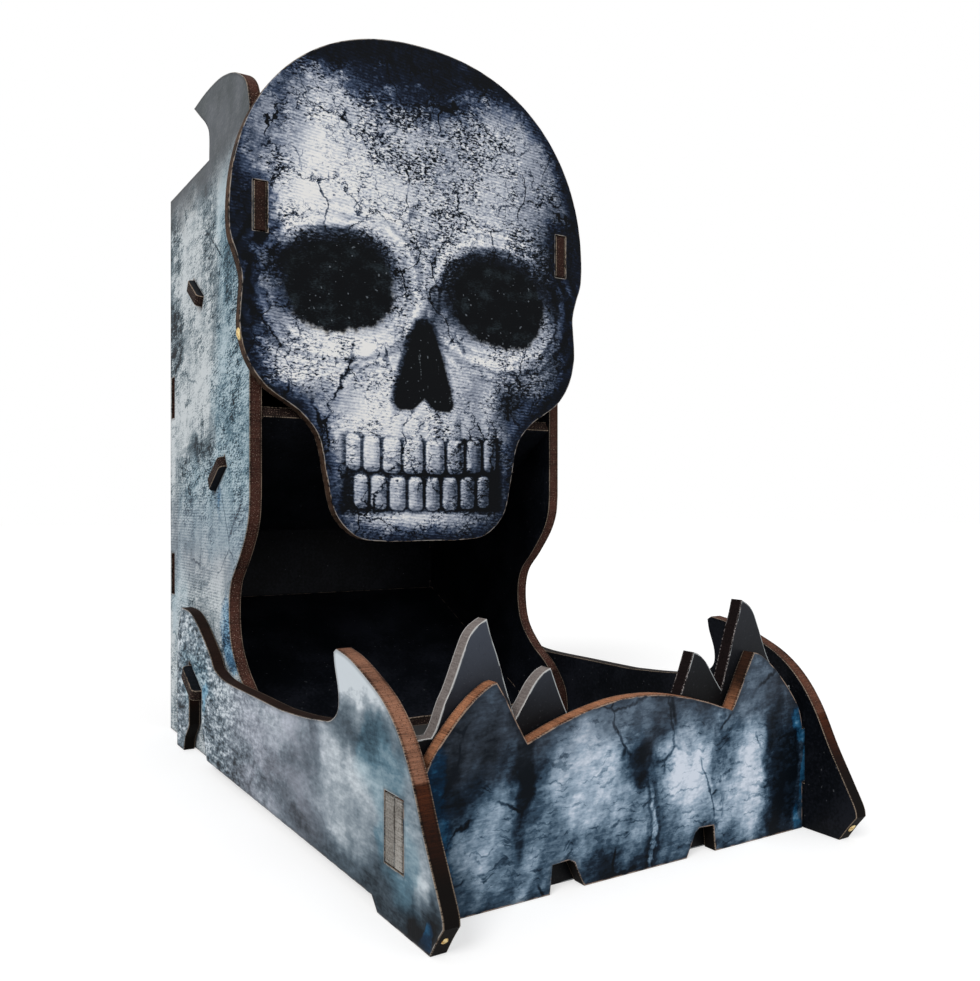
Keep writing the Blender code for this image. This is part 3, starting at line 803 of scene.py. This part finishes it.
def socket_distance(side, up):
    """Distance outside an eye socket's rim, on the right half."""
    x = side - SOCKET_CENTRE_SHARES[0]
    y = up - SOCKET_CENTRE_SHARES[1]
    turned = (x * math.cos(SOCKET_DROOP) - y * math.sin(SOCKET_DROOP),
              y * math.cos(SOCKET_DROOP) + x * math.sin(SOCKET_DROOP))
    shares = [np.abs(t / reach) for t, reach in zip(turned, SOCKET_REACH_SHARES)]
    oval = (shares[0] ** 2.5 + shares[1] ** 2.5) ** (1 / 2.5)
    return (oval - 1) * min(SOCKET_REACH_SHARES)


def nose_distance(side, up):
    """Distance outside the nose opening: narrow above, two lobes and a small spine below."""
    low, high, half = NOSE_SHARES
    share = np.clip((up - low) / (high - low), 0, 1)
    width = half * (0.22 + 0.78 * (1 - share) ** 0.8) * ease(share + 0.35, 0, 0.5)
    floor = low + 0.055 * np.exp(-(side / 0.045) ** 2)
    return np.maximum(np.maximum((side - width) * 0.9, floor - up), up - high)


def tooth_depth(side, up, widths, row):
    """Distance inside the nearest tooth of one row."""
    best = np.full(len(side), -1.0)
    edge = 0.0
    for width in widths:
        x = np.abs(side - edge - width / 2) - (width - TOOTH_GAP_SHARE) / 2 + 0.03
        y = np.abs(up - sum(row) / 2) - (row[1] - row[0]) / 2 + 0.03
        outside = np.hypot(np.maximum(x, 0), np.maximum(y, 0)) + np.minimum(np.maximum(x, y), 0) - 0.03
        best = np.maximum(best, -outside)
        edge += width
    return best


def teeth(side, up):
    bent = up - 0.10 * side * side
    upper = tooth_depth(side, bent, UPPER_TEETH_SHARES, UPPER_ROW_SHARES)
    lower = tooth_depth(side, bent, LOWER_TEETH_SHARES, LOWER_ROW_SHARES)
    return np.maximum(upper, lower)


def skull_height(across, up):
    """The skull's imagined relief, in half widths."""
    side = np.abs(across)
    tall = np.where(up > 1.45, 1.06, 1.75)
    height = 0.55 * np.sqrt(np.clip(1.25 - side ** 2 - ((up - 1.45) / tall) ** 2, 0.05, None))
    oval = np.hypot((side - 0.455) / 0.38, (up - 1.23) / 0.32)
    height = height + 0.060 * np.exp(-((oval - 1) / 0.22) ** 2) * ease(up, 1.20, 1.38)
    height = height + 0.04 * hill(side, up, (0, 1.52), (0.16, 0.12))
    height = height + 0.060 * hill(side, up, (0.62, 0.95), (0.27, 0.12), math.radians(24))
    height = height + 0.030 * np.exp(-((oval - 1.02) / 0.16) ** 2) * ease(up, 1.2, 1.0)
    height = height + 0.11 * hill(side, up, (0, 1.2), (0.085, 0.17))
    height = height + 0.11 * hill(side, up, (0, 0.42), (0.44, 0.36))
    height = height - 0.03 * hill(side, up, (0.34, 0.76), (0.09, 0.12))
    height = height + 0.04 * hill(side, up, (0, 0.05), (0.22, 0.09))
    height = height - 0.10 * hill(side, up, (0.90, 1.42), (0.14, 0.26))
    height = height - 0.07 * hill(side, up, (0.58, 0.66), (0.10, 0.10))
    height = height - 0.10 * ease(-socket_distance(side, up), -0.05, 0.10)
    height = height - 0.07 * ease(-nose_distance(side, up), -0.03, 0.05)
    root = np.abs(np.sin(side / 0.11 * math.pi)) * hill(side, up, (0, 0.57), (0.42, 0.08))
    return height + 0.014 * root + 0.022 * ease(teeth(side, up), -0.012, 0.035)


def skull_painter(points):
    """Per point of the plate: imagined shading, and distances to sockets, nose and teeth, in half widths."""
    low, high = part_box("skull_front")
    half = (high[0] - low[0]) / 2
    across = points[:, 0] / half
    up = (points[:, 1] - low[2]) / half
    step = 0.006
    slope_across = (skull_height(across + step, up) - skull_height(across - step, up)) / (2 * step)
    slope_up = (skull_height(across, up + step) - skull_height(across, up - step)) / (2 * step)
    length = np.sqrt(slope_across ** 2 + slope_up ** 2 + 1)
    lit = (-slope_across * LIGHT_FROM[0] - slope_up * LIGHT_FROM[1] + LIGHT_FROM[2]) / length
    side = np.abs(across)
    return {
        "form": np.clip(lit, 0, 1),
        "socket": socket_distance(side, up),
        "nose": nose_distance(side, up),
        "tooth": teeth(side, up),
    }


SKULL_TONES = (
    (0.0, (4, 6, 9)), (0.16, (14, 19, 28)), (0.34, (54, 64, 80)), (0.52, (110, 118, 133)),
    (0.70, (162, 168, 180)), (0.86, (200, 203, 209)), (1.0, (226, 225, 223)),
)


# Spots of the skull's dirt and of the night round it, from its middle, in half widths
SKULL_DIRT_SHARES = (
    (-0.02, 2.05, 0.50, 0.26, 0.45),
    (0.50, 1.85, 0.35, 0.35, 0.06),
    (0.08, 1.60, 0.22, 0.28, 0.45),
    (0.62, 1.55, 0.26, 0.16, 0.35),
    (0.05, 0.62, 0.35, 0.15, 0.20),
    (0.60, 0.85, 0.25, 0.16, 0.30),
    (-0.62, 0.92, 0.20, 0.10, 0.15),
)
SKULL_LIGHT_SHARES = (
    (-0.42, 1.88, 0.34, 0.26, 0.06),
    (-0.70, 1.70, 0.16, 0.24, 0.10),
    (-0.52, 0.94, 0.34, 0.14, 0.24),
    (-0.56, 0.80, 0.16, 0.10, 0.24),
    (0.50, 0.92, 0.30, 0.14, 0.14),
    (-0.16, 0.50, 0.26, 0.26, 0.10),
    (0.0, 0.10, 0.28, 0.10, 0.16),
)
SKULL_DUSK_SHARES = (
    (-0.16, 2.38, 0.72, 0.26, 0.28),
    (-0.06, 2.02, 0.36, 0.22, 0.13),
    (0.78, 1.95, 0.24, 0.44, 0.08),
    (-0.80, 1.15, 0.16, 0.26, 0.24),
    (0.82, 1.50, 0.16, 0.24, 0.08),
    (-0.86, 2.04, 0.22, 0.38, 0.46),
    (-0.88, 1.20, 0.14, 0.40, 0.20),
    (0.88, 1.10, 0.14, 0.40, 0.16),
    (0.0, 1.44, 0.10, 0.16, 0.12),
    (-0.50, 0.68, 0.12, 0.10, 0.12),
    (0.54, 0.68, 0.12, 0.12, 0.16),
    (0.36, 0.36, 0.16, 0.20, 0.08),
)
SKULL_NIGHT_SHARES = (
    (-0.22, 2.52, 0.66, 0.32, 1.05),
    (-0.08, 2.25, 0.34, 0.16, 0.30),
    (0.24, 2.34, 0.34, 0.16, 0.32),
    (0.96, 2.08, 0.26, 0.40, 0.20),
    (-0.80, 2.10, 0.26, 0.34, -0.85),
    (-0.98, 1.25, 0.14, 0.42, 0.75),
    (1.0, 1.1, 0.15, 0.75, 0.60),
    (-0.72, 1.74, 0.16, 0.26, -0.4),
    (0.80, 0.66, 0.18, 0.14, 0.6),
    (-0.82, 0.60, 0.16, 0.12, 0.5),
    (0.60, 0.30, 0.07, 0.45, 0.20),
    (-0.62, 0.30, 0.07, 0.45, 0.15),
)


def skull_print(node):
    """A pale skull on navy black: shaded bone, charcoal sockets, cracks, dark flecks and fine print lines."""
    material, tree, shader = new_material("skull_print", 0.5, PRINT_GLOSS)
    point = object_point(tree)
    low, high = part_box(node)
    half = (high[0] - low[0]) / 2
    x, _, z = parts(point)
    across = x / half
    up = (z - low[2]) / half
    place = joined(across, up, 0.0)
    edge = attribute(tree, "edge")
    wide = noise(stretched(point, (0.011, 0.011, 0.011)), 4.0, 0.6)
    clouds = noise(stretched(point, (0.005, 0.005, 0.004)), 5.0, 0.65, shift=2.0)
    ragged = noise(stretched(point, (0.0022, 0.0022, 0.0022)), 4.0, 0.65, shift=5.0)
    grain = noise(stretched(point, (0.0010, 0.0010, 0.00048)), 2.0, 0.6, 0.5, shift=8.0)
    fine = noise(stretched(point, (0.0008, 0.0008, 0.0003)), 2.0, 0.7)
    lines = maths("SINE", (z + x * 0.10 + wide * 0.0016) * (2 * math.pi / 0.00078))
    tone = rise(attribute(tree, "form"), 0.02, 1.0, 0.34, 0.90) + spots(place, SKULL_LIGHT_SHARES)
    # Dirt, grit and flecks gather over the crown's right side and between the brows
    dirt = spots(place, SKULL_DIRT_SHARES)
    grit = rise(noise(stretched(point, (0.010, 0.010, 0.008)), 3.0, shift=15.0) + dirt * 0.28, 0.36, 0.74)
    tone = tone + (clouds - 0.5) * 0.34 + (fine - 0.5) * (grit * 0.3 + 0.3)
    # Painted light and shade of a fine relief, lit from the upper left.
    tone = tone + embossed(point, 0.0012, 0.5) * (grit * 0.9 + 0.35)
    border = rise(edge, 0.0, 0.0070, 1.1, 0)
    frayed = (wide - 0.5) * 1.2 + (clouds - 0.5) * 1.9 + (ragged - 0.5) * 1.7 + (grain - 0.5) * 1.1
    night = spots(place, SKULL_NIGHT_SHARES) + border
    dusk = spots(place, SKULL_DUSK_SHARES)
    tone = tone - dusk * rise(clouds + (ragged - 0.5) * 0.6, 0.30, 0.66, 0.55, 1.25)
    flecks = rise(grain + (grit - 0.5) * 0.15 + dusk * 0.08 + night * 0.03, 0.57, 0.64)
    tone = tone - flecks * (grit * 0.40 + 0.24)
    tone = tone - dirt * rise(clouds, 0.42, 0.62) * 0.18
    # Night-dark border that frays into the bone
    veil = rise(night + frayed, 0.0, 1.5)
    tone = tone * (1 - veil * rise(ragged + (wide - 0.5) * 0.6, 0.35, 0.68, 1.0, 0.84))
    patches = rise(ragged * 0.5 + clouds * 0.5 + (wide - 0.5) * 0.4, 0.48, 0.68)
    tone = tone + patches * veil * rise(night, 0.9, 1.8, 1, 0.3) * (fine * 0.45 + lines * 0.10 + 0.08)
    # Sockets and nose
    socket = attribute(tree, "socket") + (ragged - 0.5) * 0.075 + (clouds - 0.5) * 0.04
    tone = tone - rise(socket, 0.0, 0.085, 1, 0) * 0.22
    hollow = rise(socket, -0.020, 0.010, 1, 0)
    creases = maths("SINE", socket * 105 + wide * 9) * rise(socket, 0.02, 0.06) * rise(socket, 0.12, 0.26, 1, 0)
    tone = tone + creases * rise(clouds, 0.40, 0.56) * 0.20
    nose = attribute(tree, "nose") + (ragged - 0.5) * 0.030
    tone = tone - rise(nose, 0.0, 0.035, 1, 0) * 0.20
    pit = rise(nose, -0.009, 0.006, 1, 0)
    # Teeth stand out of a dark mouth
    tooth = attribute(tree, "tooth") + (ragged - 0.5) * 0.012
    mouth = rise(up - across * across * 0.10 + (ragged - 0.5) * 0.05, 0.500, 0.530, 1, 0)
    mouth = mouth * rise(up + (ragged - 0.5) * 0.05, 0.125, 0.165)
    mouth = mouth * rise(maths("ABSOLUTE", across), 0.42, 0.48, 1, 0)
    tone = tone - mouth * rise(tooth, -0.004, 0.008, 1, 0) * 0.62
    # Cracks
    bend = joined(wide * 0.012 + ragged * 0.002, 0.0, clouds * 0.010 + ragged * 0.002)
    cell = vector_maths("ADD", point, bend)
    crack = cracks(stretched(cell, (0.017, 0.017, 0.015)))
    some = rise(noise(stretched(point, (0.014, 0.014, 0.014)), 2.0, shift=3.0) + dirt * 0.08, 0.48, 0.58)
    tone = tone - rise(crack, 0.002, 0.022, 1, 0) * some * 0.70
    hair = cracks(stretched(vector_maths("ADD", cell, (0.1, 0.0, 0.07)), (0.0055, 0.0055, 0.005)))
    few = rise(noise(stretched(point, (0.010, 0.010, 0.010)), 2.0, shift=12.0), 0.48, 0.60)
    tone = tone - rise(hair, 0.005, 0.05, 1, 0) * few * 0.42
    tone = tone + lines * rise(tone, 0.05, 0.8, 0.02, 0.065)
    colour = toned(tone, SKULL_TONES)
    bluish = rise(veil + (clouds - 0.5) * 1.2 + dusk * 0.8, 0.05, 0.75)
    colour = mixed(colour, toned(tone, NIGHT_STAIN), bluish * 0.45)
    charcoal = mixed((2, 4, 7), (34, 42, 47), rise(clouds + (fine - 0.5) * 0.6, 0.48, 0.78))
    colour = mixed(colour, charcoal, hollow)
    scratch = noise(stretched(point, (0.0016, 0.0016, 0.010)), 2.0, 0.5, 1.2, shift=4.0)
    black = mixed((5, 7, 10), (110, 118, 124), rise(scratch, 0.69, 0.72) * rise(fine, 0.45, 0.6) * 0.7)
    colour = mixed(colour, black, pit)
    dust = rise(noise(stretched(point, (0.0007, 0.0007, 0.0007)), 0.0, shift=20.0), 0.80, 0.84)
    colour = mixed(colour, (120, 128, 136), dust * rise(hollow + pit, 0.6, 1.0) * 0.5)
    colour = pale_margin(colour, point, edge, 0.5)
    feed(shader.inputs["Base Color"], colour)
    relief(shader, noise(stretched(point, (0.0014, 0.0014, 0.00045)), 2.0), 0.00005)
    return material


def grey_print(node):
    """Satin grey at the spikes' tips, with painted shade that sinks it to near black behind the front wall."""
    material, tree, shader = new_material("grey_print", 0.45, 0.08)
    point = object_point(tree)
    edge = attribute(tree, "edge")
    across, up, _ = parts(sheet_shares(tree, node, 0))
    soft = noise(stretched(point, (0.006, 0.006, 0.006)), 3.0)
    # Painted shade: the grey darkens downwards into the gap behind the front wall.
    depth = rise(up + (soft - 0.5) * 0.12, 0.58, 1.05)
    left = mixed((8, 9, 12), (62, 67, 77), depth)
    right = mixed((7, 8, 10), (38, 40, 45), depth)
    colour = mixed(left, right, rise(across, 0.4, 0.6))
    grain = noise(stretched(point, (0.0005, 0.0005, 0.0005)), 2.0)
    colour = mixed(colour, (110, 113, 120), rise(grain, 0.60, 0.76) * 0.12)
    colour = mixed(colour, (6, 7, 9), rise(grain, 0.42, 0.28) * 0.20)
    colour = pale_margin(colour, point, edge, 0.85, (170, 176, 178))
    feed(shader.inputs["Base Color"], colour)
    relief(shader, grain, 0.00002)
    return material


def black_face(name, margin=0.0):
    """Satin black with a cool cast and a few specks of dust."""
    material, tree, shader = new_material(name, 0.5, BLACK_GLOSS)
    point = object_point(tree)
    soft = noise(stretched(point, (0.014, 0.014, 0.014)), 4.0)
    weave = noise(stretched(point, (0.0007, 0.0007, 0.0007)), 2.0, 0.6)
    colour = mixed((5, 7, 11), (20, 22, 28), rise(soft + (weave - 0.5) * 0.8, 0.36, 0.72))
    dust = noise(stretched(point, (0.0006, 0.0006, 0.0006)), 0.0, shift=6.0)
    colour = mixed(colour, (84, 86, 90), rise(dust, 0.80, 0.86) * 0.6)
    if margin:
        colour = pale_margin(colour, point, attribute(tree, "edge"), margin, (150, 132, 118))
    feed(shader.inputs["Base Color"], colour)
    relief(shader, weave, 0.00003)
    return material


def tab_end(value):
    """A through tab's end, sanded pale."""
    return mixed((72, 66, 60), (166, 162, 156), value)


def tab_end_share(point):
    return rise(maths("ABSOLUTE", parts(point)[0]), TAB_END - 0.0003, TAB_END)


def burnt_edge(name, bright, dark, split=None, char_and_shade=None, ends=False, soot=(10, 7, 6), tick=0.00022,
               rims=0.0, painted_glints=0.4):
    """A laser-cut edge: scorched fibre in fine lines through the sheet, sooty near both faces."""
    material, tree, shader = new_material(name, 0.75, EDGE_GLOSS)
    way = along_and_through(tree)
    point = object_point(tree)
    height = parts(point)[2]
    stretch = noise(stretched(point, (0.007, 0.007, 0.007)), 3.0)
    lines = noise(stretched(way, (tick, 0.0040, 1)), 2.0, 0.6)
    specks = noise(stretched(way, (0.00030, 0.00035, 1)), 2.0, 0.7, shift=4.0)
    core = rise(maths("ABSOLUTE", parts(way)[1] - SHEET / 2), SHEET / 4, SHEET / 2, 1, 0)
    value = (stretch - 0.5) * 1.3 + (lines - 0.5) * 1.5 + (specks - 0.5) * 1.8 + core * 0.55 + 0.10
    colour = mixed(dark, bright, value)
    # Painted highlights: pale specks across the middle of the cut edge.
    colour = mixed(colour, (184, 156, 138), rise(specks, 0.40, 0.30) * core * painted_glints)
    # Darkens the edge past a place along an axis: char, and on the front wall painted shade in its foot notches.
    if char_and_shade:
        axis, low, high, strength = char_and_shade
        colour = mixed(colour, mixed(soot, dark, value * 0.5), rise(parts(point)[axis], low, high) * strength)
    # Darkens the edge below a height; on the front wall this paints shade in its foot notches.
    if split:
        place, feather, lower = split
        below = rise(height + (stretch - 0.5) * 0.002, place - feather, place + feather, 1, 0)
        colour = mixed(colour, mixed(soot, lower, value * rise(height, 0.010, place + 0.010, 0.0, 1.0)), below)
    colour = mixed(colour, soot, rise(specks, 0.54, 0.66) * 0.85)
    if rims:
        rim = rise(maths("ABSOLUTE", parts(way)[1] - SHEET / 2), SHEET * 0.40, SHEET * 0.48)
        colour = mixed(colour, (184, 164, 144), rim * rise(lines + (stretch - 0.5) * 0.5, 0.38, 0.58) * rims)
    if ends:
        colour = mixed(colour, tab_end(value), tab_end_share(point))
    feed(shader.inputs["Base Color"], colour)
    relief(shader, lines * 0.6 + specks * 0.4, 0.00008)
    return material


def spike_edge():
    """The grey sheet's edge: pale beige grey with light rims on the left, mauve brown on the right."""
    material, tree, shader = new_material("spike_edge", 0.65, EDGE_GLOSS)
    way = along_and_through(tree)
    point = object_point(tree)
    x = parts(point)[0]
    lines = noise(stretched(way, (0.00025, 0.0040, 1)), 2.0, 0.6)
    specks = noise(stretched(way, (0.00035, 0.00035, 1)), 2.0, 0.6, shift=4.0)
    rim = rise(maths("ABSOLUTE", parts(way)[1] - SHEET / 2), SHEET * 0.36, SHEET * 0.47)
    value = (lines - 0.5) * 1.2 + (specks - 0.5) * 1.4 + 0.5
    left = mixed(mixed((84, 76, 74), (138, 130, 126), value), (196, 196, 194), rim * 0.7)
    right = mixed(mixed((6, 4, 4), (28, 19, 19), value), (150, 142, 140), rim * rise(specks, 0.45, 0.60) * 0.8)
    colour = mixed(left, right, rise(x, -0.004, 0.004))
    colour = mixed(colour, tab_end(value), tab_end_share(point))
    feed(shader.inputs["Base Color"], colour)
    relief(shader, lines, 0.00006)
    return material


# ---------- Pieces ----------


def ramp_normal(node):
    """The normal of a ramp's upper face, its largest one that looks up."""
    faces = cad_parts[node].data.polygons
    return tuple(max(faces, key=lambda face: face.area * (face.normal.z > 0.3)).normal)


def build_sheets():
    back = black_face("black_back")
    chocolate = burnt_edge("tower_edge", (80, 50, 42), (16, 11, 9), char_and_shade=(1, 0.0124, 0.0117, 0.6), rims=0.5,
                           painted_glints=0.8)
    beaded = burnt_edge("skull_edge", (84, 64, 52), (8, 6, 5), tick=0.0014, rims=0.6)
    split = (0.0243, 0.0004, (96, 50, 28))
    rear = (1, -0.052, -0.040, 0.97)
    warm = burnt_edge("tray_edge", (150, 106, 84), (40, 24, 19), split=split, char_and_shade=rear, rims=0.4)
    # Painted shade: the right wall's edges take a darker copy of the tray edge, for the side away from the key light.
    shaded_tray_edge = burnt_edge("shaded_right_tray_edge", (98, 62, 48), (20, 12, 10), split=split, char_and_shade=rear, rims=0.5)
    # The front wall's edge goes near black below 18 mm and right of x 23.5 to 28.5 mm: soot, and painted shade in its
    # foot notches.
    orange = burnt_edge("front_edge", (184, 126, 92), (62, 37, 27), split=(0.018, 0.004, (20, 12, 9)),
                        char_and_shade=(0, 0.0235, 0.0285, 0.96), ends=True, rims=0.4)
    brown = burnt_edge("ramp_edge", (46, 33, 30), (9, 7, 6), rims=0.7, painted_glints=0.8)
    side = (side_print("tower_side_left"), chocolate, back)
    sheet("side_left", "tower_side_left", LEFT, "tower", side)
    sheet("side_right", "tower_side_right", RIGHT, "tower", side)
    face = (skull_print("skull_front"), beaded, back)
    sheet("skull_plate", "skull_front", FRONT, "tower", face, FINE_GRID, skull_painter)
    sheet("rear_sheet", "back_panel", BACK, "tower", (back, brown, back))
    ramp = (black_face("ramp_black", 0.8), brown, back)
    for node in ("upper_ramp", "middle_ramp", "bottom_ramp"):
        sheet(node + "_sheet", node, ramp_normal(node), "tower", ramp)
    wall = tray_print("tray_side_left")
    sheet("tray_wall_left", "tray_side_left", LEFT, "tray", (wall, warm, back))
    sheet("tray_wall_right", "tray_side_right", RIGHT, "tray", (wall, shaded_tray_edge, back))
    front = (front_print("tray_front_wall"), orange, back)
    sheet("tray_front", "tray_front_wall", FRONT, "tray", front)
    spiked = (grey_print("tray_spike_wall"), spike_edge(), back)
    sheet("tray_spikes", "tray_spike_wall", FRONT, "tray", spiked)


# Nubs where the sheets were broken off their frame: body, node, printed side, place near the edge, share of the reach
NUBS = (
    ("tower", "skull_front", FRONT, (-0.0488, 0.0103, 0.1074), 1.2),
    ("tray", "tray_side_left", LEFT, (-0.0469, -0.0852, 0.0028), 0.55),
    ("tray", "tray_side_right", RIGHT, (0.0469, -0.0847, 0.0029), 0.8),
)
NUB_RINGS = ((-0.0002, 1.0), (0.00012, 0.92), (0.00028, 0.62))
NUB_REACH = (0.0013, 0.0011)
NUB_CORNERS = 9


def torn_wood():
    """Pale ochre fibres."""
    material, tree, shader = new_material("torn_wood", 0.8, EDGE_GLOSS)
    point = object_point(tree)
    fibres = noise(stretched(point, (0.0003, 0.0003, 0.0008)), 2.0)
    feed(shader.inputs["Base Color"], mixed((190, 138, 72), (250, 226, 166), rise(fibres, 0.30, 0.55)))
    relief(shader, fibres, 0.0001)
    return material


def nearest_on_outline(outlines, place):
    """The nearest outline point to a place, the way along the outline, and the way out of the sheet."""
    best = None
    for a, b in segments(outlines):
        share = np.clip((place - a) @ (b - a) / ((b - a) @ (b - a)), 0, 1)
        point = a + (b - a) * share
        gap = np.linalg.norm(place - point)
        if best is None or gap < best[0]:
            along = (b - a) / np.linalg.norm(b - a)
            best = (gap, point, along, np.array((along[1], -along[0])))
    return best[1:]


def nub(name, body, node, out, place, share, material):
    """A small torn stub on a sheet's edge."""
    flat = Flat(out)
    outlines, top, bottom = face_outlines(node, flat)
    centre, along, outward = nearest_on_outline(outlines, flat.flatten(Vector(place)))
    verts = []
    for height, width in NUB_RINGS:
        for k in range(NUB_CORNERS):
            angle = 2 * math.pi * k / NUB_CORNERS
            torn = share * width * (1 + 0.14 * math.sin(k * 2.3 + width * 7))
            spot = centre + outward * height * share + along * math.cos(angle) * NUB_REACH[0] * torn
            middle = (top + bottom) / 2 + math.sin(angle) * NUB_REACH[1] * torn
            verts.append(flat.raised(spot[None], middle)[0])
    faces = [tuple(range(NUB_CORNERS * (len(NUB_RINGS) - 1), NUB_CORNERS * len(NUB_RINGS)))]
    for ring in range(len(NUB_RINGS) - 1):
        for k in range(NUB_CORNERS):
            low = ring * NUB_CORNERS
            after = (k + 1) % NUB_CORNERS
            faces.append((low + k, low + after, low + after + NUB_CORNERS, low + k + NUB_CORNERS))
    mesh = bpy.data.meshes.new(name)
    mesh.from_pydata(np.array(verts).tolist(), [], faces)
    mesh.materials.append(material)
    piece = bpy.data.objects.new(name, mesh)
    bpy.context.scene.collection.objects.link(piece)
    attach(piece, body)


def build_nubs():
    material = torn_wood()
    for body, node, out, place, share in NUBS:
        nub("nub_" + node, body, node, out, place, share, material)


# ---------- Stage ----------

FLOOR_HALF = 3.0
FLOOR_DROP = 0.0001
FLOOR_WHITE = 0.55
FLOOR_LIFT = 0.55
AMBIENT = 0.55


def backdrop_share(tree):
    """One for the rays that see the background: camera, glossy and transmission rays."""
    path = tree.nodes.new("ShaderNodeLightPath")
    seen = [Wire(tree, path.outputs[name]) for name in ("Is Camera Ray", "Is Glossy Ray", "Is Transmission Ray")]
    return maths("MAXIMUM", maths("MAXIMUM", seen[0], seen[1]), seen[2])


def build_floor():
    """A white floor that shows the object's shadow, with painted shade under the tower where its white lift is taken
    away.
    """
    mesh = bpy.data.meshes.new("floor")
    corners = [(x * FLOOR_HALF, y * FLOOR_HALF, -FLOOR_DROP) for x, y in ((-1, -1), (1, -1), (1, 1), (-1, 1))]
    mesh.from_pydata(corners, [], [(0, 1, 2, 3)])
    floor = bpy.data.objects.new("floor", mesh)
    bpy.context.scene.collection.objects.link(floor)
    material, tree, shader = new_material("floor_white", 0.9, 0.0)
    shader.inputs["Base Color"].default_value = (FLOOR_WHITE, FLOOR_WHITE, FLOOR_WHITE, 1)
    shader.inputs["Emission Color"].default_value = (1, 1, 1, 1)
    x, y, _ = parts(object_point(tree))
    # Painted shade: the white lift is taken away from the floor under the tower.
    shade_under_tower = rise(maths("ABSOLUTE", x), 0.0435, 0.041) * rise(y, -0.02, 0.035) * rise(y, 0.084, 0.082)
    feed(shader.inputs["Emission Strength"], backdrop_share(tree) * (shade_under_tower * -0.95 + 1) * FLOOR_LIFT)
    mesh.materials.append(material)


def build_world():
    world = bpy.data.worlds.new("studio")
    bpy.context.scene.world = world
    world.use_nodes = True
    tree = world.node_tree
    background = tree.nodes["Background"]
    background.inputs["Color"].default_value = (1, 1, 1, 1)
    feed(background.inputs["Strength"], backdrop_share(tree) * (1 - AMBIENT) + AMBIENT)


def sun(name, source, strength, softness):
    """Parallel soft light from a direction; a strength of one shows a white surface that faces it as white."""
    lamp = bpy.data.lights.new(name, "SUN")
    lamp.energy = strength * math.pi
    lamp.angle = math.radians(softness)
    holder = bpy.data.objects.new(name, lamp)
    bpy.context.scene.collection.objects.link(holder)
    holder.rotation_euler = Vector(source).to_track_quat("Z", "Y").to_euler()


def build_camera():
    data = bpy.data.cameras.new("camera")
    data.sensor_width = 36
    data.lens = FOCAL_PIXELS * data.sensor_width / PHOTO_HEIGHT
    data.shift_x = (PHOTO_WIDTH / 2 - PRINCIPAL_PIXEL[0]) / PHOTO_HEIGHT
    data.shift_y = (PRINCIPAL_PIXEL[1] - PHOTO_HEIGHT / 2) / PHOTO_HEIGHT
    data.clip_start = 0.01
    data.dof.use_dof = False
    camera = bpy.data.objects.new("camera", data)
    bpy.context.scene.collection.objects.link(camera)
    camera.location = CAMERA_AT
    camera.rotation_euler = (math.pi / 2, 0, CAMERA_TURN)
    bpy.context.scene.camera = camera


build_sheets()
build_nubs()
build_floor()
build_world()
sun("key", (-0.62, -0.45, 0.64), 0.55, 25)
sun("fill", (0.25, -0.90, 0.35), 0.22, 40)
build_camera()
bpy.context.scene.view_settings.view_transform = "Standard"
